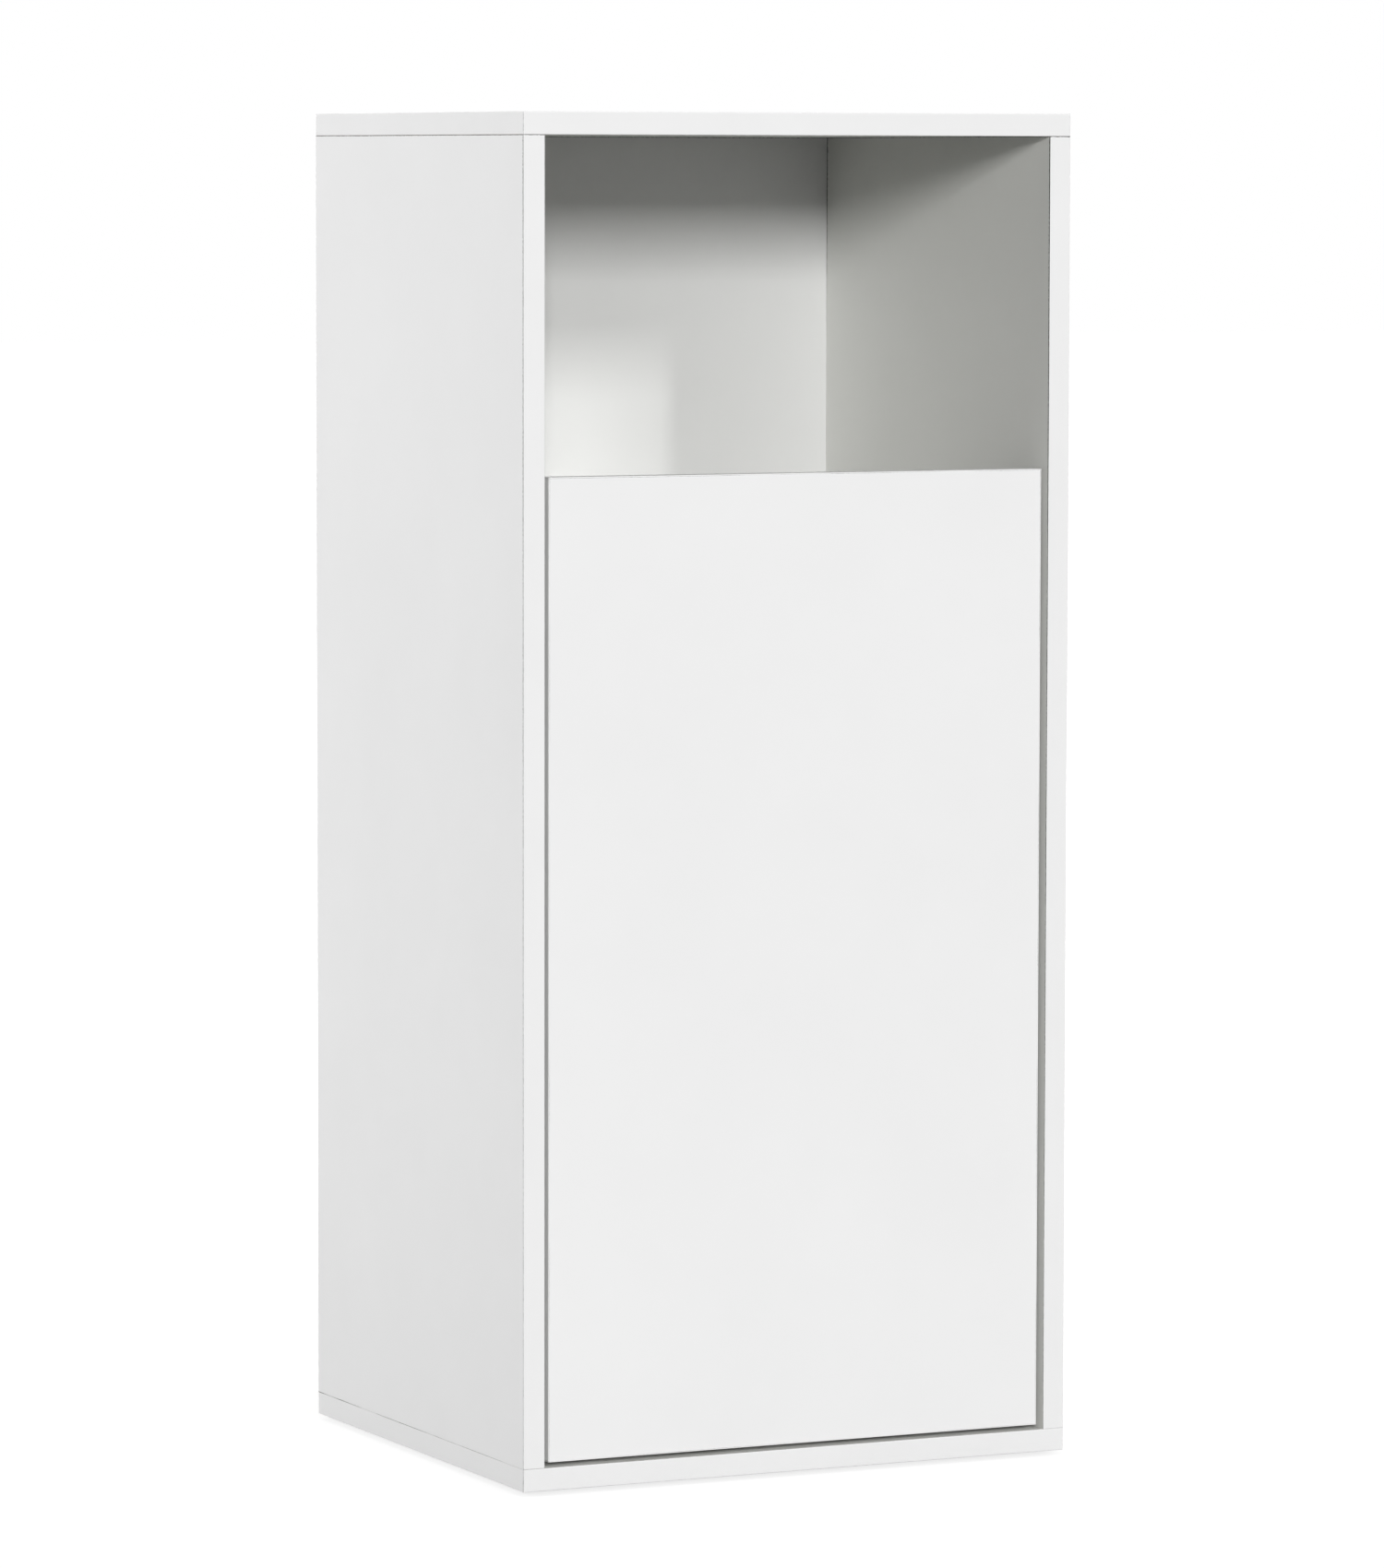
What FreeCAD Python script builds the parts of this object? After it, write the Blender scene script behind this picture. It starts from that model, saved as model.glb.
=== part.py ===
import FreeCAD, Part
import os
import Sketcher

# Linen cabinet: a free-standing white board cabinet with an open compartment above one inset door.
# Frame: +Z up, the door faces -Y, origin on the floor under the middle of the cabinet. Millimetres.

# Driving dimensions: name, value, meaning
DIMENSIONS = (
    ("cabinet_width", "400", "outside width, X"),
    ("cabinet_depth", "350", "outside depth, Y"),
    ("body_height", "902", "height of the boards, without the glides"),
    ("board_thickness", "15", "top, bottom, sides and shelves"),
    ("band_thickness", "0.8", "edge band glued on a board's edge"),
    ("band_radius", "0.5", "rounding of a band's outer edges"),
    ("back_thickness", "3", "back panel"),
    ("back_inset", "11", "rear edges of the boards to the back panel's rear face"),
    ("groove_depth", "6", "groove that holds the back panel"),
    ("groove_play", "0.1", "clearance on each face of the back panel in its groove"),
    ("groove_end_play", "0.5", "clearance past each edge of the back panel"),
    ("door_thickness", "15", "door panel"),
    ("door_height", "647", "door, over its edge bands"),
    ("door_side_gap", "4", "gap from the door to each side panel"),
    ("door_bottom_gap", "3", "gap from the door to the bottom panel"),
    ("door_recess", "3", "door's front face behind the cabinet's front"),
    ("grip_height", "25", "lip of the door above the fixed shelf"),
    ("corner_clearance", "1", "room for the door's rear corner as it swings past the fixed shelf"),
    ("dowel_radius", "4", "beech dowel"),
    ("dowel_length", "30", "beech dowel"),
    ("dowel_face_depth", "11", "dowel hole in a board's face"),
    ("dowel_end_play", "0.5", "room at each end of a dowel"),
    ("dowel_play", "0.05", "radial clearance of a dowel"),
    ("dowel_chamfer", "1", "bevel of a dowel's ends"),
    ("dowel_inset", "50", "front and rear dowels from the edges of their board"),
    ("pin_radius", "2.45", "shelf pin shank"),
    ("pin_play", "0.05", "radial clearance of a shelf pin"),
    ("pin_shank", "9", "length of a shelf pin in its hole"),
    ("pin_hole_depth", "10", "shelf pin hole"),
    ("pin_hole_pitch", "32", "between the holes of a row"),
    ("pin_hole_height", "301.5", "middle hole of a row above the cabinet's floor board"),
    ("pin_line", "37", "rows of holes from the front edge and from the back panel"),
    ("spade_reach", "8", "shelf pin's flat under the shelf"),
    ("spade_width", "10", "shelf pin's flat, along Y"),
    ("spade_thickness", "3", "shelf pin's flat, along Z"),
    ("spade_corner_radius", "2.5", "rounded tip of a shelf pin's flat"),
    ("loose_shelf_setback", "10", "adjustable shelf's front edge behind the door"),
    ("loose_shelf_side_play", "1", "adjustable shelf to each side panel"),
    ("loose_shelf_back_play", "2", "adjustable shelf to the back panel"),
    ("glide_height", "3", "floor glide"),
    ("glide_radius", "10", "floor glide"),
    ("glide_bevel", "1", "floor glide's lower edge"),
    ("glide_inset", "40", "glide centres from the cabinet's outside"),
    ("glide_recess_play", "0.2", "room round and under the nail's head in a glide"),
    ("fastener_play", "0.1", "radial clearance of a screw or nail in its hole"),
    ("hole_end_play", "0.5", "room past the tip of a screw or nail"),
    ("head_crown_ratio", "0.75", "flat top of a round head, of the head's radius"),
    ("cross_reach_ratio", "0.6", "cross recess of a screw, of the head's radius"),
    ("cross_width_ratio", "0.14", "half the width of a recess arm, of the head's radius"),
    ("cross_depth_ratio", "0.6", "cross recess, of the head's height"),
    ("back_nail_spacing", "120", "nails of the back panel, along X"),
    ("hinge_inset", "90", "hinge centres from the door's top and bottom"),
    ("pivot_edge_distance", "11", "hinge pin from the door's hinge edge"),
    ("pivot_back_distance", "6", "hinge pin in front of the door's rear face"),
    ("hinge_pin_radius", "1.5", "hinge pin"),
    ("hinge_pin_cover", "0.5", "least metal past each end of the hinge pin"),
    ("hinge_pin_play", "0.05", "radial clearance of the hinge pin"),
    ("cup_radius", "17.4", "hinge cup"),
    ("cup_play", "0.1", "radial clearance of the cup in the door"),
    ("cup_tab", "3", "wood between the cup's hole and the door's edge"),
    ("cup_floor", "1", "hinge cup's floor"),
    ("cup_rim_overlap", "1.6", "flange past the cup"),
    ("cup_rim_height", "1", "flange on the door's rear face"),
    ("cup_slot_play", "1.5", "room round the arm in the cup's slot"),
    ("cup_ear_offset", "6", "ear screws from the cup's centre, away from the hinge edge"),
    ("cup_ear_half_width", "5.5", "ears of the flange, along X"),
    ("cup_ear_reach", "30", "ears of the flange, along Z"),
    ("cup_screw_reach", "24", "ear screws from the cup's centre, along Z"),
    ("arm_thickness", "3", "hinge arm"),
    ("arm_half_width", "6", "hinge arm, along Z"),
    ("arm_eye_radius", "3", "eye round the hinge pin"),
    ("arm_neck_reach", "13", "from the hinge pin to the middle of the neck's leg"),
    ("arm_clearance", "1.8", "room for the door's front corner as it swings past the arm"),
    ("arm_foot_length", "50", "foot of the arm along the mounting plate"),
    ("arm_bend_radius", "1.2", "inside of the arm's bends"),
    ("plate_line", "37", "plate screws behind the cabinet's front edge"),
    ("plate_height", "4", "rail of the mounting plate"),
    ("plate_wing_thickness", "2", "wings of the mounting plate"),
    ("plate_wing_reach", "26", "wings of the mounting plate, along Z"),
    ("plate_wing_half_depth", "9", "wings of the mounting plate, along Y"),
    ("plate_rail_half_width", "7", "rail of the mounting plate, along Z"),
    ("plate_screw_reach", "16", "plate screws from the hinge's centre, along Z"),
    ("plate_corner_radius", "3", "rounded corners of the wings"),
    ("adjusting_front_place", "14", "first adjusting screw along the arm's foot"),
    ("adjusting_rear_place", "38", "second adjusting screw along the arm's foot"),
    ("catch_inset", "55", "catch centre from the left side panel"),
    ("catch_width", "46", "catch housing, along X"),
    ("catch_depth", "20", "catch housing, along Y"),
    ("catch_height", "14", "catch housing, along Z"),
    ("catch_play", "0.1", "magnet pack in the housing"),
    ("catch_gap", "0.2", "pole plates to the strike plate with the door shut"),
    ("magnet_width", "28", "magnet, along X"),
    ("magnet_depth", "14", "magnet, along Y"),
    ("magnet_height", "4", "magnet, along Z"),
    ("pole_thickness", "1.5", "pole plates over and under the magnet"),
    ("pole_lead", "1", "pole plates in front of the housing"),
    ("strike_width", "40", "strike plate, along X"),
    ("strike_height", "12", "strike plate, along Z"),
    ("strike_thickness", "1.2", "strike plate"),
    ("plate_screw_head_radius", "4.5", "screw of the mounting plate"),
    ("plate_screw_shank_radius", "2.9", "screw of the mounting plate"),
    ("plate_screw_bite", "10", "screw of the mounting plate, in the board"),
    ("cup_screw_head_radius", "3.4", "screw of the hinge cup"),
    ("cup_screw_head_height", "1.6", "screw of the hinge cup"),
    ("cup_screw_shank_radius", "1.7", "screw of the hinge cup"),
    ("cup_screw_bite", "11", "screw of the hinge cup, in the board"),
    ("adjusting_screw_head_radius", "4", "adjusting screw of the arm"),
    ("adjusting_screw_head_height", "2", "adjusting screw of the arm"),
    ("adjusting_screw_shank_radius", "2.4", "adjusting screw of the arm"),
    ("catch_screw_head_radius", "2.8", "screw of the catch housing"),
    ("catch_screw_head_height", "1.4", "screw of the catch housing"),
    ("catch_screw_shank_radius", "1.4", "screw of the catch housing"),
    ("catch_screw_bite", "10", "screw of the catch housing, in the board"),
    ("strike_screw_head_radius", "2.8", "screw of the strike plate"),
    ("strike_screw_shank_radius", "1.4", "screw of the strike plate"),
    ("strike_screw_bite", "9.8", "screw of the strike plate, in the board"),
    ("back_nail_head_radius", "2.5", "nail of the back panel"),
    ("back_nail_head_height", "0.8", "nail of the back panel"),
    ("back_nail_shank_radius", "0.8", "nail of the back panel"),
    ("back_nail_bite", "21", "nail of the back panel, in the shelf"),
    ("glide_nail_head_radius", "2.4", "nail of a floor glide"),
    ("glide_nail_head_height", "1", "nail of a floor glide"),
    ("glide_nail_shank_radius", "1", "nail of a floor glide"),
    ("glide_nail_bite", "11", "nail of a floor glide, in the board"),
)

PIN_HOLE_STEPS = (-2, -1, 0, 1, 2)
SIDES = (("left", -1), ("right", 1))
SAME_PLACE = 0.01

X = FreeCAD.Vector(1, 0, 0)
Y = FreeCAD.Vector(0, 1, 0)
Z = FreeCAD.Vector(0, 0, 1)

doc = FreeCAD.newDocument("linen_cabinet")
sheet = doc.addObject("Spreadsheet::Sheet", "dims")
for row, (alias, number, meaning) in enumerate(DIMENSIONS, start=1):
    sheet.set("A%d" % row, alias)
    sheet.set("B%d" % row, number)
    sheet.set("C%d" % row, meaning)
    sheet.setAlias("B%d" % row, alias)
doc.recompute()

subparts = []


# Places that several pieces share, as expressions on the sheet
HALF_WIDTH = "(dims.cabinet_width / 2)"
INNER_X = "(dims.cabinet_width / 2 - dims.board_thickness)"
FRONT_Y = "(-dims.cabinet_depth / 2)"
REAR_Y = "(dims.cabinet_depth / 2)"
BODY_BOTTOM_Z = "dims.glide_height"
FLOOR_Z = "(dims.glide_height + dims.board_thickness)"
CEILING_Z = "(dims.glide_height + dims.body_height - dims.board_thickness)"
BACK_FRONT_Y = f"({REAR_Y} - dims.back_inset - dims.back_thickness)"
BACK_REAR_Y = f"({REAR_Y} - dims.back_inset)"
DOOR_FRONT_Y = f"({FRONT_Y} + dims.door_recess)"
DOOR_BACK_Y = f"({DOOR_FRONT_Y} + dims.door_thickness)"
DOOR_EDGE_X = f"({INNER_X} - dims.door_side_gap)"
DOOR_BOTTOM_Z = f"({FLOOR_Z} + dims.door_bottom_gap)"
DOOR_TOP_Z = f"({DOOR_BOTTOM_Z} + dims.door_height)"
SHELF_TOP_Z = f"({DOOR_TOP_Z} - dims.grip_height)"
SHELF_UNDER_Z = f"({SHELF_TOP_Z} - dims.board_thickness)"
PIVOT_X = f"({DOOR_EDGE_X} - dims.pivot_edge_distance)"
PIVOT_Y = f"({DOOR_BACK_Y} - dims.pivot_back_distance)"
REAR_CORNER_SWING = "sqrt(dims.pivot_edge_distance ^ 2 + dims.pivot_back_distance ^ 2)"
FRONT_CORNER_SWING = (
    "sqrt(dims.pivot_edge_distance ^ 2 + (dims.door_thickness - dims.pivot_back_distance) ^ 2)"
)
SHELF_FRONT_Y = f"({PIVOT_Y} + {REAR_CORNER_SWING} + dims.corner_clearance)"
LOOSE_SHELF_FRONT_Y = f"({DOOR_BACK_Y} + dims.loose_shelf_setback)"
PIN_Z = f"({FLOOR_Z} + dims.pin_hole_height)"
PIN_LINES = (f"({FRONT_Y} + dims.pin_line)", f"({BACK_FRONT_Y} - dims.pin_line)")
HINGES = (
    ("lower", f"({DOOR_BOTTOM_Z} + dims.hinge_inset)"),
    ("upper", f"({DOOR_TOP_Z} - dims.hinge_inset)"),
)
CUP_X = f"({DOOR_EDGE_X} - dims.cup_tab - dims.cup_radius - dims.cup_play)"
CUP_EAR_X = f"({CUP_X} - dims.cup_ear_offset)"
CUP_DEPTH = "(dims.pivot_back_distance + dims.arm_eye_radius + dims.cup_slot_play + dims.cup_floor)"
PIN_OFFSET = f"({PIVOT_X} - {CUP_X})"
PIN_HALF_LENGTH = (
    f"(sqrt(dims.cup_radius ^ 2 - ({PIN_OFFSET} + dims.hinge_pin_radius) ^ 2) - dims.hinge_pin_cover)"
)
PLATE_Y = f"({FRONT_Y} + dims.plate_line)"
PLATE_TOP_X = f"({INNER_X} - dims.plate_height)"
PLATE_WING_X = f"({INNER_X} - dims.plate_wing_thickness)"
ARM_CRANK = f"({FRONT_CORNER_SWING} + dims.arm_clearance)"
ARM_FOOT_Y = f"({PIVOT_Y} + {ARM_CRANK})"
CATCH_X = f"(-{INNER_X} + dims.catch_inset)"
CATCH_Z = f"({SHELF_UNDER_Z} - dims.catch_height / 2)"
POLE_FRONT_Y = f"({DOOR_BACK_Y} + dims.strike_thickness + dims.catch_gap)"
CATCH_FRONT_Y = f"({POLE_FRONT_Y} + dims.pole_lead)"
CATCH_MIDDLE_Y = f"({CATCH_FRONT_Y} + dims.catch_depth / 2)"
CATCH_SCREW_REACH = "((dims.magnet_width + dims.catch_width) / 4)"
BACK_NAIL_PLACES = [
    (f"({step} * dims.back_nail_spacing)", BACK_REAR_Y, f"({SHELF_TOP_Z} - dims.board_thickness / 2)")
    for step in (-1, 0, 1)
]
GLIDE_X = f"({HALF_WIDTH} - dims.glide_inset)"
GLIDE_Y = f"({REAR_Y} - dims.glide_inset)"
GLIDE_PLACES = [(f"({sx} * {GLIDE_X})", f"({sy} * {GLIDE_Y})") for sx in (-1, 1) for sy in (-1, 1)]
GLIDE_RECESS_DEPTH = "(dims.glide_nail_head_height + dims.glide_recess_play)"
SIDE_MIDDLE_X = f"({HALF_WIDTH} - dims.board_thickness / 2)"
CARCASS_DOWEL_LINES = (f"({FRONT_Y} + dims.dowel_inset)", "0", f"({REAR_Y} - dims.dowel_inset)")
SHELF_DOWEL_LINES = (
    f"({SHELF_FRONT_Y} + dims.dowel_inset)",
    f"(({SHELF_FRONT_Y} + {BACK_FRONT_Y}) / 2)",
    f"({BACK_FRONT_Y} - dims.dowel_inset)",
)
DOWEL_END_DEPTH = "(dims.dowel_length + 2 * dims.dowel_end_play - dims.dowel_face_depth)"


def value(expression):
    return float(sheet.evalExpression(expression))


def place(piece, at, turn=None):
    """Put an object at a point given by three expressions, turned by a fixed rotation."""
    piece.Placement = FreeCAD.Placement(FreeCAD.Vector(), turn or FreeCAD.Rotation())
    for axis, expression in zip("xyz", at):
        piece.setExpression("Placement.Base." + axis, expression)


def facing(direction):
    """Turn that points a piece's own +Z along a direction."""
    return FreeCAD.Rotation(Z, direction)


def axes(run, across, out):
    """Turn that points a piece's own X, Y and Z along three directions."""
    return FreeCAD.Rotation(run, across, out, "XYZ")


FACES_FRONT = axes(X, Z, -Y)
FACES_FRONT_UPRIGHT = axes(Z, -X, -Y)
FACES_LEFT = axes(-Y, Z, -X)
FACES_RIGHT = axes(Y, Z, X)
FACES_LEFT_UPRIGHT = axes(Z, Y, -X)
FACES_RIGHT_UPRIGHT = axes(Z, -Y, X)
FACES_UP = axes(X, Y, Z)
FACES_DOWN = axes(X, -Y, -Z)


def keep(piece, label):
    """Name a finished sub-part and list it for writing."""
    piece.Label = label
    subparts.append(piece)
    return piece


def box(name, low, high):
    """Block between two corners, each given by three expressions."""
    block = doc.addObject("Part::Box", name)
    for size, start, end in zip(("Length", "Width", "Height"), low, high):
        block.setExpression(size, f"{end} - ({start})")
    place(block, low)
    return block


def drill(name, radius, depth, at, direction):
    """Round tool that goes into a board from a point on its face."""
    tool = doc.addObject("Part::Cylinder", name)
    tool.setExpression("Radius", radius)
    tool.setExpression("Height", depth)
    place(tool, at, facing(direction))
    return tool


def cut_from(name, blank, tools):
    """Blank with a set of separate tools taken out of it."""
    tool_set = doc.addObject("Part::Compound", name + "_tools")
    tool_set.Links = tools
    piece = doc.addObject("Part::Cut", name)
    piece.Base = blank
    piece.Tool = tool_set
    return piece


def group(label, members):
    """One node of several separate solids."""
    bundle = doc.addObject("Part::Compound", label)
    bundle.Links = members
    return keep(bundle, label)


def copies(label, master, places):
    """One node of equal pieces, each a point and a turn."""
    links = []
    for index, (at, turn) in enumerate(places):
        link = doc.addObject("App::Link", "%s_%d" % (label, index))
        link.LinkedObject = master
        place(link, at, turn)
        links.append(link)
    return group(label, links)


def sketch_on(body, name, role, offset="0"):
    """Sketch on one of a body's own origin planes, moved out along its normal."""
    plane = next(feature for feature in body.Origin.OriginFeatures if feature.Role == role)
    sketch = body.newObject("Sketcher::SketchObject", name)
    sketch.AttachmentSupport = (plane, [""])
    sketch.MapMode = "FlatFace"
    sketch.setExpression("AttachmentOffset.Base.z", offset)
    return sketch


def fix_point(sketch, geometry, vertex, x, y):
    for axis, kind, expression in ((-2, "DistanceX", x), (-1, "DistanceY", y)):
        if expression == "0":
            sketch.addConstraint(Sketcher.Constraint("PointOnObject", geometry, vertex, axis))
            continue
        distance = Sketcher.Constraint(kind, -1, 1, geometry, vertex, value(expression))
        index = sketch.addConstraint(distance)
        sketch.setExpression("Constraints[%d]" % index, expression)


def outline(sketch, points):
    """Closed outline of straight lines, each corner held by two expressions."""
    corners = [FreeCAD.Vector(value(x), value(y), 0) for x, y in points]
    lines = [
        sketch.addGeometry(Part.LineSegment(start, end), False)
        for start, end in zip(corners, corners[1:] + corners[:1])
    ]
    for step, (x, y) in enumerate(points):
        sketch.addConstraint(Sketcher.Constraint("Coincident", lines[step - 1], 2, lines[step], 1))
        fix_point(sketch, lines[step], 1, x, y)


def rectangle(sketch, low_x, low_y, high_x, high_y):
    outline(sketch, [(low_x, low_y), (high_x, low_y), (high_x, high_y), (low_x, high_y)])


def circle(sketch, x, y, radius):
    round_line = Part.Circle(FreeCAD.Vector(value(x), value(y), 0), Z, value(radius))
    index = sketch.addGeometry(round_line, False)
    fix_point(sketch, index, 3, x, y)
    limit = sketch.addConstraint(Sketcher.Constraint("Radius", index, value(radius)))
    sketch.setExpression("Constraints[%d]" % limit, radius)


def extrude(body, kind, sketch, length, side="One side", backwards=False):
    """Pad or pocket of a sketch."""
    feature = body.newObject("PartDesign::" + kind, sketch.Name + "_" + kind.lower())
    feature.Profile = sketch
    feature.setExpression("Length", length)
    feature.SideType = side
    feature.Reversed = backwards
    doc.recompute()
    return feature


def pocket(body, sketch, depth, side="One side", backwards=False):
    """Pocket that has to take material away."""
    before = body.Shape.Volume
    feature = extrude(body, "Pocket", sketch, depth, side, backwards)
    if body.Shape.Volume >= before:
        raise RuntimeError("pocket cut nothing: " + sketch.Name)
    return feature


def revolve(body, sketch):
    """Turned piece from a half section beside the sketch's upright axis."""
    feature = body.newObject("PartDesign::Revolution", sketch.Name + "_turned")
    feature.Profile = sketch
    feature.ReferenceAxis = (sketch, ["V_Axis"])
    feature.Angle = 360
    doc.recompute()
    return feature


def round_edges(body, base, radius, wanted):
    """Fillet on the edges of a feature that a test picks out."""
    names = ["Edge%d" % (index + 1) for index, edge in enumerate(base.Shape.Edges) if wanted(edge)]
    feature = body.newObject("PartDesign::Fillet", base.Name + "_rounded")
    feature.Base = (base, names)
    feature.setExpression("Radius", radius)
    doc.recompute()
    return feature


def runs_along(edge, direction):
    """Straight edge parallel to a direction."""
    start, end = (vertex.Point for vertex in edge.Vertexes)
    return (end - start).cross(direction).Length < SAME_PLACE


def is_upright_at(edge, x, y):
    """Edge along Z that stands at the point (x, y)."""
    return all(abs(vertex.X - x) < SAME_PLACE and abs(vertex.Y - y) < SAME_PLACE for vertex in edge.Vertexes)


# Edge bands: thin strips glued on the edges of the boards, their outer edges rounded
def edge_band(name, length, width, at, turn):
    body = doc.addObject("PartDesign::Body", name)
    sketch = sketch_on(body, name + "_strip", "XY_Plane")
    rectangle(sketch, "0", "0", length, width)
    strip = extrude(body, "Pad", sketch, "dims.band_thickness")
    outer = value("dims.band_thickness")
    round_edges(
        body, strip, "dims.band_radius",
        lambda edge: all(abs(vertex.Z - outer) < SAME_PLACE for vertex in edge.Vertexes),
    )
    place(body, at, turn)
    return body


# Dowels: one turned beech peg with bevelled ends, copied to every joint
def make_dowel():
    body = doc.addObject("PartDesign::Body", "dowel")
    sketch = sketch_on(body, "dowel_section", "XZ_Plane")
    shoulder = "(dims.dowel_radius - dims.dowel_chamfer)"
    outline(sketch, [
        ("0", "0"),
        (shoulder, "0"),
        ("dims.dowel_radius", "dims.dowel_chamfer"),
        ("dims.dowel_radius", "dims.dowel_length - dims.dowel_chamfer"),
        (shoulder, "dims.dowel_length"),
        ("0", "dims.dowel_length"),
    ])
    revolve(body, sketch)
    return body


# Screws and nails: turned shank with a point, a round head or one sunk in a plate, and a cross recess.
# The head's seat is at the piece's own origin, or its flush face if it is sunk, and +Z leaves the hole.
def make_fastener(kind, length, sunk_in=None, crossed=True):
    head_radius = f"dims.{kind}_head_radius"
    head_height = sunk_in or f"dims.{kind}_head_height"
    shank_radius = f"dims.{kind}_shank_radius"
    body = doc.addObject("PartDesign::Body", kind)
    sketch = sketch_on(body, kind + "_section", "XZ_Plane")
    shank = [("0", f"-{length}"), (shank_radius, f"{shank_radius} - {length}")]
    if sunk_in:
        face = "0"
        head = [(shank_radius, f"-{head_height}"), (head_radius, "0"), ("0", "0")]
    else:
        face = head_height
        head = [
            (shank_radius, "0"),
            (head_radius, "0"),
            (head_radius, f"{head_height} / 2"),
            (f"{head_radius} * dims.head_crown_ratio", head_height),
            ("0", head_height),
        ]
    outline(sketch, shank + head)
    revolve(body, sketch)
    if crossed:
        reach = f"{head_radius} * dims.cross_reach_ratio"
        half = f"{head_radius} * dims.cross_width_ratio"
        recess = sketch_on(body, kind + "_recess", "XY_Plane", face)
        outline(recess, [
            (half, half), (half, reach), (f"-{half}", reach),
            (f"-{half}", half), (f"-{reach}", half), (f"-{reach}", f"-{half}"),
            (f"-{half}", f"-{half}"), (f"-{half}", f"-{reach}"), (half, f"-{reach}"),
            (half, f"-{half}"), (reach, f"-{half}"), (reach, half),
        ])
        pocket(body, recess, f"{head_height} * dims.cross_depth_ratio")
    return body


def fastener_hole(kind):
    """Radius of the hole that a screw or nail goes into."""
    return f"dims.{kind}_shank_radius + dims.fastener_play"


def fastener_depth(kind):
    """Depth of the hole that a screw or nail has in its board."""
    return f"dims.{kind}_bite + dims.hole_end_play"


# Back panel's groove: a slot in the inner faces of top, bottom and sides
GROOVE_FRONT_Y = f"({BACK_FRONT_Y} - dims.groove_play)"
GROOVE_REAR_Y = f"({BACK_REAR_Y} + dims.groove_play)"
GROOVE_REACH_X = f"({INNER_X} + dims.groove_depth)"


# Top and bottom panels: lie over and under the sides, which stand on dowels between them
def make_top_and_bottom():
    for label, low_z, inside_z, inward in (
        ("top_panel", CEILING_Z, CEILING_Z, Z),
        ("bottom_panel", BODY_BOTTOM_Z, FLOOR_Z, -Z),
    ):
        blank = box(
            label + "_blank",
            (f"(-{HALF_WIDTH} + dims.band_thickness)", f"({FRONT_Y} + dims.band_thickness)", low_z),
            (f"({HALF_WIDTH} - dims.band_thickness)", REAR_Y, f"({low_z} + dims.board_thickness)"),
        )
        groove_end_z = f"({inside_z} + ({inward.z}) * dims.groove_depth)"
        groove_low_z, groove_high_z = (inside_z, groove_end_z) if inward.z > 0 else (groove_end_z, inside_z)
        tools = [box(
            label + "_groove",
            (f"-{GROOVE_REACH_X}", GROOVE_FRONT_Y, groove_low_z),
            (GROOVE_REACH_X, GROOVE_REAR_Y, groove_high_z),
        )]
        for side, sign in SIDES:
            for index, line in enumerate(CARCASS_DOWEL_LINES):
                tools.append(drill(
                    f"{label}_{side}_dowel_hole_{index}", "dims.dowel_radius + dims.dowel_play",
                    "dims.dowel_face_depth", (f"{sign} * {SIDE_MIDDLE_X}", line, inside_z), inward,
                ))
        if label == "bottom_panel":
            for index, (glide_x, glide_y) in enumerate(GLIDE_PLACES):
                tools.append(drill(
                    f"glide_nail_hole_{index}", fastener_hole("glide_nail"), fastener_depth("glide_nail"),
                    (glide_x, glide_y, BODY_BOTTOM_Z), Z,
                ))
        keep(cut_from(label, blank, tools), label)

        front_y = f"({FRONT_Y} + dims.band_thickness)"
        run = "dims.cabinet_depth - dims.band_thickness"
        group(label + "_edge_bands", [
            edge_band(
                label + "_front_band", "dims.cabinet_width", "dims.board_thickness",
                (f"-{HALF_WIDTH}", front_y, low_z), FACES_FRONT,
            ),
            edge_band(
                label + "_left_band", run, "dims.board_thickness",
                (f"-{HALF_WIDTH} + dims.band_thickness", REAR_Y, low_z), FACES_LEFT,
            ),
            edge_band(
                label + "_right_band", run, "dims.board_thickness",
                (f"{HALF_WIDTH} - dims.band_thickness", front_y, low_z), FACES_RIGHT,
            ),
        ])


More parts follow.
